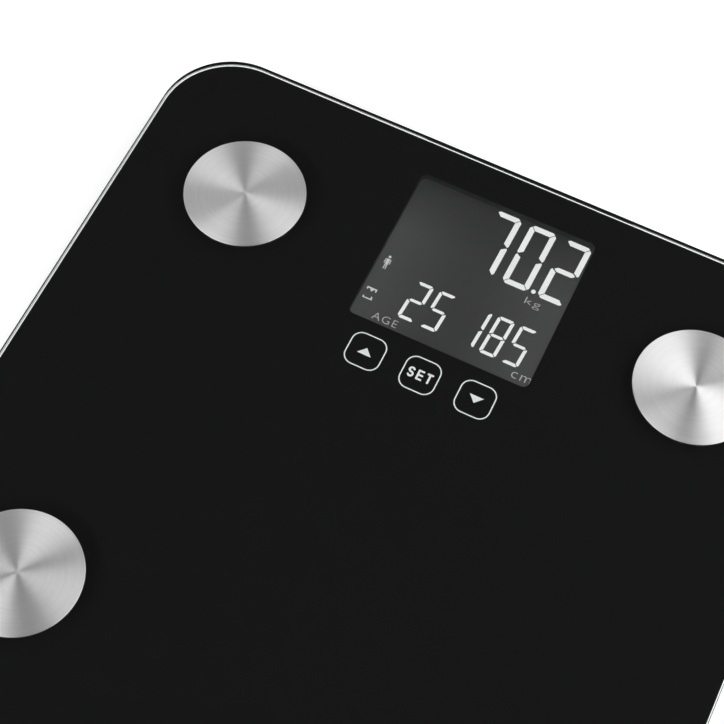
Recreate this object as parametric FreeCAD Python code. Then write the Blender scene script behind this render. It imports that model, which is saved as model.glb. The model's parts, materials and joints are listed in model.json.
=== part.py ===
import FreeCAD, Part
import math
import os

# Digital bathroom scale: a square glass platform on four load-cell feet, with spun steel
# electrodes on top and a display housing underneath. Millimetres, +Z up, +Y towards the
# display end. The origin is on the floor under the middle of the platform.

Vector = FreeCAD.Vector
UP = Vector(0, 0, 1)
FULL_TURN = 360.0

# ---------------------------------------------------------------- platform
PLATFORM_SIDE = 300.0
PLATFORM_CORNER_RADIUS = 31.0
GLASS_TOP_Z = 24.0
GLASS_THICKNESS = 5.0
GLASS_BOTTOM_Z = GLASS_TOP_Z - GLASS_THICKNESS
GLASS_TOP_BEVEL = 0.2
GLASS_BOTTOM_BEVEL = 0.2
PRINT_THICKNESS = 0.15
PRINT_BOTTOM_Z = GLASS_BOTTOM_Z - PRINT_THICKNESS
PRINT_INSET = 0.5
TAPE_THICKNESS = 0.5
TAPE_BOTTOM_Z = PRINT_BOTTOM_Z - TAPE_THICKNESS

# ---------------------------------------------------------------- printed keys
KEY_ROW_CENTRE_X = -0.5
KEY_ROW_Y = 49.4
KEY_PITCH = 23.5
KEY_SIDE = 14.5
KEY_CORNER_RADIUS = 4.2
KEY_LINE_WIDTH = 0.5
ARROW_WIDTH = 6.0
ARROW_HEIGHT = 3.2
LETTER_HEIGHT = 4.6
LETTER_WIDTH = 2.7
LETTER_STROKE = 0.85
LETTER_GAP = 1.1

# ---------------------------------------------------------------- display stack
WINDOW_CENTRE_X = 0.4
WINDOW_CENTRE_Y = 98.7
WINDOW_WIDTH = 77.2
WINDOW_HEIGHT = 72.3
WINDOW_CORNER_RADIUS = 2.6
GASKET_THICKNESS = 1.0
GASKET_WIDTH = 1.6
GASKET_BOTTOM_Z = PRINT_BOTTOM_Z - GASKET_THICKNESS
BEZEL_DEPTH = 2.6
BEZEL_CLEARANCE = 0.1
LCD_TOP_Z = GASKET_BOTTOM_Z - BEZEL_DEPTH
LCD_WIDTH = 80.6
LCD_HEIGHT = 76.0
LCD_CORNER_RADIUS = 0.8
POLARISER_THICKNESS = 0.2
POLARISER_INSET = 0.8
LCD_GLASS_THICKNESS = 1.4
LCD_STACK_CLEARANCE = 0.3
BACKLIGHT_THICKNESS = 3.0
BACKLIGHT_FRONT_GAP = 3.4
BACKLIGHT_SIDE_GAP = 3.2
HOLDER_WALL = 1.3
HOLDER_FRONT_LEDGE = 3.2
HOLDER_LEDGE_TOP_Z = 14.0
ZEBRA_DEPTH = 1.8
ZEBRA_LENGTH = 72.0
ZEBRA_FRONT_GAP = 0.5
LED_COUNT = 3
LED_PITCH = 19.0
LED_SIZE = 2.0
LED_WIDTH = 3.5

# ---------------------------------------------------------------- main board
BOARD_TOP_Z = 10.2
BOARD_THICKNESS = 1.6
BOARD_BOTTOM_Z = BOARD_TOP_Z - BOARD_THICKNESS
BOARD_HALF_WIDTH = 47.0
BOARD_FRONT_Y = 43.0
BOARD_BACK_Y = 140.0
BOARD_CORNER_RADIUS = 2.0
BOARD_NOTCH_CLEARANCE = 0.3
BOARD_SCREW_X = 30.0
BOARD_SCREW_SIZE = 1.7
BOARD_SCREW_LENGTH = 4.0
BOARD_SCREW_HEAD = 3.2
BOARD_SCREW_HEAD_HEIGHT = 1.1
BLOB_RADIUS = 8.0
BLOB_HEIGHT = 1.8
BLOB_X = -8.0
BLOB_Y = 96.0
CRYSTAL_LENGTH = 10.0
CRYSTAL_WIDTH = 3.6
CRYSTAL_HEIGHT = 2.4
CRYSTAL_CORNER_RADIUS = 1.6
CRYSTAL_X = 15.0
CRYSTAL_Y = 91.8
CAPACITOR_RADIUS = 2.0
CAPACITOR_HEIGHT = 2.8
CAPACITOR_XS = (12.0, 22.0)
CAPACITOR_Y = 104.0
CHIP_ROWS = 2
CHIP_COLUMNS = 6
CHIP_PITCH = 4.0
CHIP_FIRST_X = -20.0
CHIP_FIRST_Y = 74.0
CHIP_LENGTH = 2.0
CHIP_WIDTH = 1.25
CHIP_HEIGHT = 0.6
TOUCH_SPRING_RADIUS = 3.0
TOUCH_SPRING_WIRE = 0.5
TOUCH_SPRING_PITCH = 1.6

# ---------------------------------------------------------------- display housing and rear cover
HOUSING_HALF_WIDTH = 50.0
HOUSING_FRONT_Y = 8.0
HOUSING_BACK_Y = 143.0
HOUSING_CORNER_RADIUS = 10.0
HOUSING_WALL = 2.0
HOUSING_LIP_WIDTH = 4.0
HOUSING_BACK_LIP_WIDTH = 2.0
HOUSING_LIP_THICKNESS = 1.5
COVER_BOTTOM_Z = 3.2
COVER_THICKNESS = 2.0
COVER_TOP_Z = COVER_BOTTOM_Z + COVER_THICKNESS
COVER_EDGE_BEVEL = 0.8
COVER_BOSS_RADIUS = 2.6
COVER_BOSS_X = 45.5
COVER_BOSS_YS = (13.5, 75.0, 137.6)
COVER_SCREW_SIZE = 2.5
COVER_SCREW_HEAD = 5.0
COVER_SCREW_HEAD_HEIGHT = 1.2
COVER_SCREW_LENGTH = 9.0
COVER_SCREW_HOLE = 3.0
COVER_SCREW_RECESS = 5.6
COVER_POST_RADIUS = 2.0
COVER_POST_X = 38.0
COVER_POST_YS = (68.0, 128.0)
COVER_RIB_COUNT = 7
COVER_RIB_PITCH = 7.0
COVER_RIB_LENGTH = 60.0
COVER_RIB_WIDTH = 1.6
COVER_RIB_DEPTH = 0.4
COVER_RIB_CENTRE_Y = 98.0

# ---------------------------------------------------------------- unit button
UNIT_X = 34.0
UNIT_Y = 51.0
UNIT_BUTTON_RADIUS = 3.5
UNIT_BUTTON_BOTTOM_Z = 3.4
UNIT_FLANGE_RADIUS = 4.6
UNIT_FLANGE_Z = 5.5
UNIT_FLANGE_THICKNESS = 0.7
UNIT_HOLE_CLEARANCE = 0.3
UNIT_DISH_RADIUS = 6.5
UNIT_DISH_DEPTH = 0.6
UNIT_PLUNGER_RADIUS = 1.2
UNIT_PLUNGER_HEIGHT = 1.5
UNIT_SWITCH_SIDE = 6.0
UNIT_SWITCH_HEIGHT = 1.6
UNIT_SWITCH_BORE_CLEARANCE = 0.1
UNIT_SWITCH_ROOF = 0.2

# ---------------------------------------------------------------- batteries (two AAA cells)
CELL_RADIUS = 5.25
CELL_BODY_LENGTH = 43.7
CELL_NUB_LENGTH = 0.8
CELL_NUB_RADIUS = 1.9
CELL_EDGE_ROUND = 0.5
CELL_PITCH = 10.8
CELL_AXIS_Z = 10.6
CELL_NUB_END_X = 23.7
TRAY_HALF_WIDTH = 27.0
TRAY_FRONT_Y = 11.5
TRAY_BACK_Y = 40.5
TRAY_WALL = 1.2
TRAY_ROOF = 0.8
TRAY_TOP_Z = TAPE_BOTTOM_Z - HOUSING_LIP_THICKNESS
TRAY_CENTRE_Y = (TRAY_FRONT_Y + TRAY_BACK_Y) / 2.0
CONTACT_SIDE = 9.0
CONTACT_THICKNESS = 0.3
CONTACT_FACE_X = 25.2
CONTACT_DIMPLE_RADIUS = 1.6
CONTACT_SPRING_RADIUS = 2.6
CONTACT_SPRING_WIRE = 0.6
CONTACT_SPRING_PITCH = 1.2
BATTERY_LEAD_X = 17.0
BATTERY_LEAD_END_Y = 46.0

# ---------------------------------------------------------------- battery door
DOOR_HALF_WIDTH = 25.0
DOOR_BACK_Y = 38.5
DOOR_THICKNESS = 1.6
DOOR_TONGUE_REACH = 1.5
DOOR_TONGUE_THICKNESS = 0.6
DOOR_CLEARANCE = 0.3
DOOR_GRIP_COUNT = 5
DOOR_GRIP_PITCH = 2.2
DOOR_GRIP_LENGTH = 16.0
DOOR_GRIP_WIDTH = 1.0
DOOR_GRIP_DEPTH = 0.5
DOOR_GRIP_FRONT_Y = 13.0
DOOR_ARROW_WIDTH = 9.0
DOOR_ARROW_HEIGHT = 6.0
DOOR_ARROW_Y = 31.0

# ---------------------------------------------------------------- electrodes
CORNER_X = 98.0
CORNER_Y = 91.0
CORNERS = {
    "back_left": (-1, 1),
    "back_right": (1, 1),
    "front_left": (-1, -1),
    "front_right": (1, -1),
}
DISC_RADIUS = 24.85
DISC_THICKNESS = 0.7
DISC_RIM_BEVEL = 0.25
ADHESIVE_RADIUS = 23.8
ADHESIVE_THICKNESS = 0.3
ADHESIVE_HOLE_RADIUS = 5.0
DISC_BOTTOM_Z = GLASS_TOP_Z + ADHESIVE_THICKNESS
STUD_RADIUS = 1.5
STUD_END_Z = 12.9
GLASS_HOLE_RADIUS = 4.0
BUSH_RADIUS = 3.9
BUSH_BORE_RADIUS = 1.6
TERMINAL_THICKNESS = 0.5
TERMINAL_RADIUS = 3.3
TERMINAL_BARREL_RADIUS = 0.9
TERMINAL_BARREL_START = 4.6
TERMINAL_BARREL_END = 8.5
WASHER_THICKNESS = 0.5
WASHER_RADIUS = 3.5
NUT_HEIGHT = 2.4
NUT_ACROSS_FLATS = 5.5

# ---------------------------------------------------------------- foot housings
CUP_RADIUS = 28.0
CUP_WALL = 2.0
CUP_WEB_THICKNESS = 1.8
CUP_WEB_BOTTOM_Z = TAPE_BOTTOM_Z - CUP_WEB_THICKNESS
CUP_BOTTOM_Z = 6.8
CUP_BOSS_ANGLES = (60.0, 180.0, 300.0)
CUP_BOSS_DISTANCE = 23.2
CUP_BOSS_RADIUS = 2.4
CUP_TAPE_INNER_RADIUS = 10.0
RETAINER_BOTTOM_Z = 5.0
RETAINER_HOLE_RADIUS = 18.35
RETAINER_EDGE_BEVEL = 0.6
RETAINER_SCREW_SIZE = 2.2
RETAINER_SCREW_HEAD = 4.2
RETAINER_SCREW_HEAD_HEIGHT = 1.0
RETAINER_SCREW_LENGTH = 7.0
RETAINER_SCREW_HOLE = 2.6
RETAINER_SCREW_RECESS = 4.6
CROSS_SLOT_WIDTH = 0.5
CROSS_SLOT_DEPTH = 0.6
CROSS_SLOT_SHARE = 0.6
SCREW_CLEARANCE = 0.05

# ---------------------------------------------------------------- load cells
LOAD_CELL_BOTTOM_Z = 9.8
LOAD_CELL_THICKNESS = 2.0
LOAD_CELL_TOP_Z = LOAD_CELL_BOTTOM_Z + LOAD_CELL_THICKNESS
LOAD_CELL_SIDE = 34.0
LOAD_CELL_CORNER_RADIUS = 5.0
LOAD_CELL_WINDOW = 25.0
LOAD_CELL_TONGUE_END = 7.0
LOAD_CELL_TONGUE_HALF_WIDTH = 7.0
LOAD_CELL_POST_OFFSET = 14.0
LOAD_CELL_POST_SIDE = 4.0
HOOK_HALF_LENGTH = 4.0
HOOK_PLATE_THICKNESS = 1.4
HOOK_GAP = 0.2
HOOK_REACH = 1.4
HOOK_HEIGHT = 1.1
GAUGE_START_X = -11.0
GAUGE_END_X = -5.0
GAUGE_HALF_WIDTH = 2.5
GAUGE_THICKNESS = 0.8

# ---------------------------------------------------------------- feet
FOOT_RADIUS = 18.0
FOOT_BOTTOM_Z = 1.4
FOOT_FLANGE_RADIUS = 20.0
FOOT_FLANGE_Z = 7.1
FOOT_FLANGE_THICKNESS = 0.8
FOOT_TOP_Z = FOOT_FLANGE_Z + FOOT_FLANGE_THICKNESS
FOOT_EDGE_BEVEL = 1.0
FOOT_WALL = 2.0
FOOT_FLOOR_TOP_Z = 4.2
FOOT_BOSS_RADIUS = 5.0
FOOT_RIB_COUNT = 6
FOOT_RIB_WIDTH = 1.2
FOOT_RIB_TOP_Z = 6.8
PAD_RADIUS = 15.4
PAD_RECESS_RADIUS = 15.5
PAD_TOP_Z = 2.6
PAD_EDGE_BEVEL = 0.4
PAD_GROOVE_RADII = (6.0, 11.0)
PAD_GROOVE_WIDTH = 1.2
PAD_GROOVE_DEPTH = 0.5

# ---------------------------------------------------------------- wiring
DUCT_WIDTH = 12.0
DUCT_WALL = 1.2
DUCT_BOTTOM_Z = 12.5
DUCT_FLOOR_Z = DUCT_BOTTOM_Z + DUCT_WALL
DUCT_FLANGE_WIDTH = 17.0
DUCT_FLANGE_THICKNESS = 1.0
DUCT_START = 20.0
DUCT_VOID_START = 24.5
DUCT_FRONT_AIM_X = 30.0
DUCT_FRONT_AIM_Y = 20.0
LEAD_RADIUS = 0.45
LEAD_Z = 15.6
LEAD_BEND_SHARE = 0.45
CELL_LEAD_OFFSETS = (-2.2, -0.8, 0.6)
CELL_LEAD_FIRST_X = -9.4
CELL_LEAD_STEP = 1.4
CELL_LEAD_OUTER_Y = -11.0
CELL_LEAD_Z = 12.4
CELL_LEAD_TURN_X = 17.5
CELL_LEAD_TURN_STEP = 0.8
LEAD_RISE_END_X = 24.0
ELECTRODE_LEAD_OFFSET = 2.4
ELECTRODE_LEAD_TURN_X = 14.0
BACK_PAD_X = 44.6
FRONT_RUN_X = 33.0
FRONT_PAD_Y = 45.5


# ================================================================ shape helpers
def box(x0, x1, y0, y1, z0, z1):
    return Part.makeBox(x1 - x0, y1 - y0, z1 - z0, Vector(x0, y0, z0))


def cylinder(radius, z0, z1, x=0.0, y=0.0):
    return Part.makeCylinder(radius, z1 - z0, Vector(x, y, z0))


def tube(outer, inner, z0, z1, x=0.0, y=0.0):
    return cylinder(outer, z0, z1, x, y).cut(cylinder(inner, z0, z1, x, y))


def rounded_outline(x0, x1, y0, y1, radius, z):
    """Closed wire of a rectangle with round corners, in the plane at height z."""
    left, right, front, back = x0 + radius, x1 - radius, y0 + radius, y1 - radius
    centres = ((right, back), (left, back), (left, front), (right, front))
    arcs = []
    for quarter, (cx, cy) in enumerate(centres):
        points = []
        for step in range(3):
            angle = math.radians(90.0 * quarter + 45.0 * step)
            points.append(Vector(cx + radius * math.cos(angle), cy + radius * math.sin(angle), z))
        arcs.append(Part.Arc(*points))
    edges = []
    for arc, following in zip(arcs, arcs[1:] + arcs[:1]):
        edges.append(arc.toShape())
        edges.append(Part.LineSegment(arc.EndPoint, following.StartPoint).toShape())
    return Part.Wire(edges)


def rounded_plate(x0, x1, y0, y1, radius, z0, z1):
    return Part.Face(rounded_outline(x0, x1, y0, y1, radius, z0)).extrude(Vector(0, 0, z1 - z0))


def centred_plate(cx, cy, width, height, radius, z0, z1):
    return rounded_plate(cx - width / 2, cx + width / 2, cy - height / 2, cy + height / 2, radius, z0, z1)


def prism(points, z0, z1):
    """Straight-sided plate through the (x, y) points, from z0 up to z1."""
    corners = [Vector(x, y, z0) for x, y in points]
    return Part.Face(Part.makePolygon(corners + corners[:1])).extrude(Vector(0, 0, z1 - z0))


def turned(profile):
    """Solid of revolution about Z through the (radius, z) points."""
    corners = [Vector(r, 0, z) for r, z in profile]
    return Part.Face(Part.makePolygon(corners + corners[:1])).revolve(Vector(0, 0, 0), UP, FULL_TURN)


def bevel_level_edges(shape, size, z):
    """Chamfer the outer edges that lie in the plane at height z."""
    edges = [e for e in shape.Edges if abs(e.BoundBox.ZMin - z) < 1e-6 and abs(e.BoundBox.ZMax - z) < 1e-6]
    return shape.makeChamfer(size, edges)


def joined(shapes):
    whole = shapes[0]
    for shape in shapes[1:]:
        whole = whole.fuse(shape)
    return whole.removeSplitter()


def without(shape, cutters):
    for cutter in cutters:
        shape = shape.cut(cutter)
    return shape


def turned_to(shape, angle, x, y):
    """Copy of a shape, turned about Z at the origin and then moved to (x, y)."""
    moved = shape.copy()
    moved.rotate(Vector(0, 0, 0), UP, angle)
    moved.translate(Vector(x, y, 0))
    return moved


def bent_path(points):
    """Straight runs joined by tangent arcs, each as large as its two runs allow."""
    edges = []
    start = points[0]
    for before, corner, after in zip(points, points[1:], points[2:]):
        inward = (before - corner).normalize()
        outward = (after - corner).normalize()
        half_turn = (math.pi - inward.getAngle(outward)) / 2.0
        reach = LEAD_BEND_SHARE * min((before - corner).Length, (after - corner).Length)
        radius = reach / math.tan(half_turn)
        entry = corner + inward * reach
        leave = corner + outward * reach
        to_middle = (inward + outward).normalize()
        middle = corner + to_middle * (radius / math.cos(half_turn) - radius)
        edges.append(Part.LineSegment(start, entry).toShape())
        edges.append(Part.Arc(entry, middle, leave).toShape())
        start = leave
    edges.append(Part.LineSegment(start, points[-1]).toShape())
    return Part.Wire(edges)


def swept(path, radius):
    """Round wire of the given radius along a path."""
    first = path.Edges[0]
    start = first.valueAt(first.FirstParameter)
    circle = Part.Wire(Part.makeCircle(radius, start, first.tangentAt(first.FirstParameter)))
    solid = path.makePipeShell([circle], True, True)
    return Part.Solid(solid) if solid.ShapeType == "Shell" else solid


def coil(radius, wire, pitch, height):
    """Helical spring standing on Z = 0, with its wire inside the given height."""
    helix = Part.makeHelix(pitch, height - wire, radius)
    helix.translate(Vector(0, 0, wire / 2.0))
    return swept(Part.Wire(helix.Edges), wire / 2.0)


def pan_screw(size, length, head, head_height, head_bottom_z):
    """Pan-head screw pointing up, with a cross slot in the head's underside."""
    top = head_bottom_z + head_height
    slot_length = head * CROSS_SLOT_SHARE
    half = CROSS_SLOT_WIDTH / 2.0
    slot_top = head_bottom_z + CROSS_SLOT_DEPTH
    body = joined([cylinder(head / 2.0, head_bottom_z, top), cylinder(size / 2.0, top, top + length)])
    first = box(-slot_length / 2.0, slot_length / 2.0, -half, half, head_bottom_z, slot_top)
    second = box(-half, half, -slot_length / 2.0, slot_length / 2.0, head_bottom_z, slot_top)
    return without(body, [first, second])


# ================================================================ where things are
def corner_centre(name):
    side_x, side_y = CORNERS[name]
    return side_x * CORNER_X, side_y * CORNER_Y


def duct_angle(name):
    """Direction, in degrees, from a foot housing to the display housing."""
    side_x, side_y = CORNERS[name]
    x, y = corner_centre(name)
    if side_y > 0:
        return 180.0 if side_x > 0 else 0.0
    return math.degrees(math.atan2(DUCT_FRONT_AIM_Y - y, side_x * DUCT_FRONT_AIM_X - x))


def at_corner(shape, name):
    """Copy of a shape drawn about the origin, with its duct along +X, put at a corner."""
    x, y = corner_centre(name)
    return turned_to(shape, duct_angle(name), x, y)


def at_corners(shape):
    return Part.makeCompound([at_corner(shape, name) for name in CORNERS])


def duct_length(name):
    """Distance along the duct's line that reaches well inside the display housing."""
    side_x, side_y = CORNERS[name]
    x, y = corner_centre(name)
    if side_y > 0:
        return abs(x) - BACK_PAD_X + DUCT_WALL
    return math.hypot(side_x * DUCT_FRONT_AIM_X - x, DUCT_FRONT_AIM_Y - y)


def housing_block(z0, z1, inset=0.0, back_inset=None):
    back = inset if back_inset is None else back_inset
    half = HOUSING_HALF_WIDTH - inset
    radius = HOUSING_CORNER_RADIUS - inset
    return rounded_plate(-half, half, HOUSING_FRONT_Y + inset, HOUSING_BACK_Y - back, radius, z0, z1)


def duct_void(name):
    """The space that the leads run through, from inside the cup to inside the display housing."""
    half = DUCT_WIDTH / 2.0 - DUCT_WALL
    void = box(DUCT_VOID_START, duct_length(name), -half, half, DUCT_FLOOR_Z, CUP_WEB_BOTTOM_Z)
    return at_corner(void, name)


def window_plate(width, height, radius, z0, z1):
    """Round-cornered plate centred on the display window."""
    return centred_plate(WINDOW_CENTRE_X, WINDOW_CENTRE_Y, width, height, radius, z0, z1)


def cover_screw_places():
    return [(side * COVER_BOSS_X, y) for side in (-1, 1) for y in COVER_BOSS_YS]


def key_xs():
    return [KEY_ROW_CENTRE_X + step * KEY_PITCH for step in (-1, 0, 1)]


def cell_ys():
    return (TRAY_CENTRE_Y - CELL_PITCH / 2.0, TRAY_CENTRE_Y + CELL_PITCH / 2.0)


# ================================================================ platform
def glass_platform():
    half = PLATFORM_SIDE / 2.0
    plate = rounded_plate(-half, half, -half, half, PLATFORM_CORNER_RADIUS, GLASS_BOTTOM_Z, GLASS_TOP_Z)
    plate = bevel_level_edges(plate, GLASS_TOP_BEVEL, GLASS_TOP_Z)
    plate = bevel_level_edges(plate, GLASS_BOTTOM_BEVEL, GLASS_BOTTOM_Z)
    levels = (GLASS_BOTTOM_Z, GLASS_TOP_Z)
    holes = [cylinder(GLASS_HOLE_RADIUS, *levels, *corner_centre(name)) for name in CORNERS]
    return without(plate, holes)


def key_outline(x):
    outer = KEY_SIDE + KEY_LINE_WIDTH
    inner = KEY_SIDE - KEY_LINE_WIDTH
    outer_radius = KEY_CORNER_RADIUS + KEY_LINE_WIDTH / 2.0
    inner_radius = KEY_CORNER_RADIUS - KEY_LINE_WIDTH / 2.0
    levels = (PRINT_BOTTOM_Z, GLASS_BOTTOM_Z)
    whole = centred_plate(x, KEY_ROW_Y, outer, outer, outer_radius, *levels)
    return whole.cut(centred_plate(x, KEY_ROW_Y, inner, inner, inner_radius, *levels))


def arrow(x, y, width, height, z0, z1):
    """Triangle that points along +Y, or along -Y if the height is negative."""
    half = width / 2.0
    base = y - height / 2.0
    return prism(((x - half, base), (x + half, base), (x, y + height / 2.0)), z0, z1)


def bar_stroke(start, end):
    """Straight printed line with round ends between two (x, y) points."""
    (x0, y0), (x1, y1) = start, end
    half = LETTER_STROKE / 2.0
    length = math.hypot(x1 - x0, y1 - y0)
    bar = box(0, length, -half, half, PRINT_BOTTOM_Z, GLASS_BOTTOM_Z)
    bar = turned_to(bar, math.degrees(math.atan2(y1 - y0, x1 - x0)), x0, y0)
    ends = [cylinder(half, PRINT_BOTTOM_Z, GLASS_BOTTOM_Z, x, y) for x, y in (start, end)]
    return joined([bar] + ends)


def arc_stroke(cx, cy, radius, start_angle, end_angle):
    """Printed line along part of a circle, with round ends."""
    half = LETTER_STROKE / 2.0
    z0, z1 = PRINT_BOTTOM_Z, GLASS_BOTTOM_Z
    profile = ((radius - half, z0), (radius + half, z0), (radius + half, z1), (radius - half, z1))
    corners = [Vector(r, 0, z) for r, z in profile]
    face = Part.Face(Part.makePolygon(corners + corners[:1]))
    band = face.revolve(Vector(0, 0, 0), UP, end_angle - start_angle)
    band = turned_to(band, start_angle, cx, cy)
    ends = []
    for angle in (start_angle, end_angle):
        x = cx + radius * math.cos(math.radians(angle))
        y = cy + radius * math.sin(math.radians(angle))
        ends.append(cylinder(half, z0, z1, x, y))
    return joined([band] + ends)


def letter_s(x, y):
    radius = (LETTER_HEIGHT - LETTER_STROKE) / 4.0
    upper = arc_stroke(x, y + radius, radius, 30.0, 270.0)
    lower = arc_stroke(x, y - radius, radius, -150.0, 90.0)
    return joined([upper, lower])


def letter_e(x, y):
    left = x - (LETTER_WIDTH - LETTER_STROKE) / 2.0
    right = x + (LETTER_WIDTH - LETTER_STROKE) / 2.0
    rise = (LETTER_HEIGHT - LETTER_STROKE) / 2.0
    strokes = [bar_stroke((left, y - rise), (left, y + rise))]
    strokes += [bar_stroke((left, y + level), (right, y + level)) for level in (-rise, 0.0, rise)]
    return joined(strokes)


def letter_t(x, y):
    reach = (LETTER_WIDTH - LETTER_STROKE) / 2.0
    rise = (LETTER_HEIGHT - LETTER_STROKE) / 2.0
    stem = bar_stroke((x, y - rise), (x, y + rise))
    return joined([stem, bar_stroke((x - reach, y + rise), (x + reach, y + rise))])


def white_key_print():
    up_x, set_x, down_x = key_xs()
    levels = (PRINT_BOTTOM_Z, GLASS_BOTTOM_Z)
    pieces = [key_outline(x) for x in key_xs()]
    pieces.append(arrow(up_x, KEY_ROW_Y, ARROW_WIDTH, ARROW_HEIGHT, *levels))
    pieces.append(arrow(down_x, KEY_ROW_Y, ARROW_WIDTH, -ARROW_HEIGHT, *levels))
    letter_pitch = LETTER_WIDTH + LETTER_GAP
    pieces.append(letter_s(set_x - letter_pitch, KEY_ROW_Y))
    pieces.append(letter_e(set_x, KEY_ROW_Y))
    pieces.append(letter_t(set_x + letter_pitch, KEY_ROW_Y))
    return Part.makeCompound(pieces)


def black_screen_print():
    half = PLATFORM_SIDE / 2.0 - PRINT_INSET
    radius = PLATFORM_CORNER_RADIUS - PRINT_INSET
    levels = (PRINT_BOTTOM_Z, GLASS_BOTTOM_Z)
    film = rounded_plate(-half, half, -half, half, radius, *levels)
    window = window_plate(WINDOW_WIDTH, WINDOW_HEIGHT, WINDOW_CORNER_RADIUS, *levels)
    holes = [cylinder(GLASS_HOLE_RADIUS, *levels, *corner_centre(name)) for name in CORNERS]
    return without(film, [window] + holes + white_key_print().Solids)


def mounting_tapes():
    levels = (TAPE_BOTTOM_Z, PRINT_BOTTOM_Z)
    pieces = [at_corner(tube(CUP_RADIUS, CUP_TAPE_INNER_RADIUS, *levels), name) for name in CORNERS]
    lip = HOUSING_WALL + HOUSING_LIP_WIDTH
    back_lip = HOUSING_WALL + HOUSING_BACK_LIP_WIDTH
    pieces.append(housing_block(*levels).cut(housing_block(*levels, lip, back_lip)))
    for name in CORNERS:
        half = DUCT_FLANGE_WIDTH / 2.0
        channel = DUCT_WIDTH / 2.0 - DUCT_WALL
        strip = box(DUCT_START, duct_length(name), -half, half, *levels)
        strip = strip.cut(box(DUCT_START, duct_length(name), -channel, channel, *levels))
        strip = at_corner(strip, name)
        cup = cylinder(CUP_RADIUS, *levels, *corner_centre(name))
        pieces += without(strip, [cup, housing_block(*levels)]).Solids
    return Part.makeCompound(pieces)


# ================================================================ electrodes
def electrode():
    """Steel disc with a bevelled rim and the stud welded to its middle."""
    top = DISC_BOTTOM_Z + DISC_THICKNESS
    profile = (
        (0, STUD_END_Z),
        (STUD_RADIUS, STUD_END_Z),
        (STUD_RADIUS, DISC_BOTTOM_Z),
        (DISC_RADIUS, DISC_BOTTOM_Z),
        (DISC_RADIUS, top - DISC_RIM_BEVEL),
        (DISC_RADIUS - DISC_RIM_BEVEL, top),
        (0, top),
    )
    return turned(profile)


def adhesive_ring():
    return tube(ADHESIVE_RADIUS, ADHESIVE_HOLE_RADIUS, GLASS_TOP_Z, DISC_BOTTOM_Z)


def stud_bush():
    return tube(BUSH_RADIUS, BUSH_BORE_RADIUS, TAPE_BOTTOM_Z, GLASS_TOP_Z)


def ring_terminal():
    top = CUP_WEB_BOTTOM_Z
    bottom = top - TERMINAL_THICKNESS
    ring = cylinder(TERMINAL_RADIUS, bottom, top)
    half = TERMINAL_BARREL_RADIUS
    tab = box(0, TERMINAL_BARREL_END, -half, half, bottom, top)
    barrel_start = Vector(TERMINAL_BARREL_START, 0, LEAD_Z)
    barrel_length = TERMINAL_BARREL_END - TERMINAL_BARREL_START
    barrel = Part.makeCylinder(half, barrel_length, barrel_start, Vector(1, 0, 0))
    return joined([ring, tab, barrel]).cut(cylinder(BUSH_BORE_RADIUS, bottom, top))


def washer():
    top = CUP_WEB_BOTTOM_Z - TERMINAL_THICKNESS
    return tube(WASHER_RADIUS, BUSH_BORE_RADIUS, top - WASHER_THICKNESS, top)


def nut():
    top = CUP_WEB_BOTTOM_Z - TERMINAL_THICKNESS - WASHER_THICKNESS
    corner_radius = NUT_ACROSS_FLATS / math.sqrt(3.0)
    angles = [math.radians(60.0 * side) for side in range(6)]
    points = [(corner_radius * math.cos(a), corner_radius * math.sin(a)) for a in angles]
    hexagon = prism(points, top - NUT_HEIGHT, top)
    return hexagon.cut(cylinder(STUD_RADIUS + SCREW_CLEARANCE, top - NUT_HEIGHT, top))


# ================================================================ foot housings
def cup_boss_places():
    places = []
    for angle in CUP_BOSS_ANGLES:
        turn = math.radians(angle)
        places.append((CUP_BOSS_DISTANCE * math.cos(turn), CUP_BOSS_DISTANCE * math.sin(turn)))
    return places


def load_cell_hook(side):
    """Plate beside the load cell, with a lip under its frame. side is 1 or -1 along Y."""
    near = LOAD_CELL_SIDE / 2.0 + HOOK_GAP
    far = near + HOOK_PLATE_THICKNESS
    bottom = LOAD_CELL_BOTTOM_Z - HOOK_HEIGHT
    plate = box(-HOOK_HALF_LENGTH, HOOK_HALF_LENGTH, near, far, bottom, CUP_WEB_BOTTOM_Z)
    lip = box(-HOOK_HALF_LENGTH, HOOK_HALF_LENGTH, near - HOOK_REACH, far, bottom, LOAD_CELL_BOTTOM_Z)
    return turned_to(joined([plate, lip]), 0.0 if side > 0 else 180.0, 0, 0)


def foot_housing(name):
    cup = cylinder(CUP_RADIUS, CUP_BOTTOM_Z, TAPE_BOTTOM_Z)
    cup = cup.cut(cylinder(CUP_RADIUS - CUP_WALL, CUP_BOTTOM_Z, CUP_WEB_BOTTOM_Z))
    parts = [cup]
    parts += [cylinder(CUP_BOSS_RADIUS, CUP_BOTTOM_Z, CUP_WEB_BOTTOM_Z, x, y) for x, y in cup_boss_places()]
    half = LOAD_CELL_POST_SIDE / 2.0
    for sx in (-1, 1):
        for sy in (-1, 1):
            x, y = sx * LOAD_CELL_POST_OFFSET, sy * LOAD_CELL_POST_OFFSET
            parts.append(box(x - half, x + half, y - half, y + half, LOAD_CELL_TOP_Z, CUP_WEB_BOTTOM_Z))
    parts += [load_cell_hook(side) for side in (-1, 1)]
    screw_radius = RETAINER_SCREW_SIZE / 2.0 + SCREW_CLEARANCE
    pilot_top = CUP_BOTTOM_Z + RETAINER_SCREW_LENGTH
    pilots = [cylinder(screw_radius, CUP_BOTTOM_Z, pilot_top, x, y) for x, y in cup_boss_places()]
    stud_hole = cylinder(BUSH_BORE_RADIUS, CUP_WEB_BOTTOM_Z, TAPE_BOTTOM_Z)
    housing = without(joined(parts), pilots + [stud_hole])
    return at_corner(housing, name).cut(duct_void(name))


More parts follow.
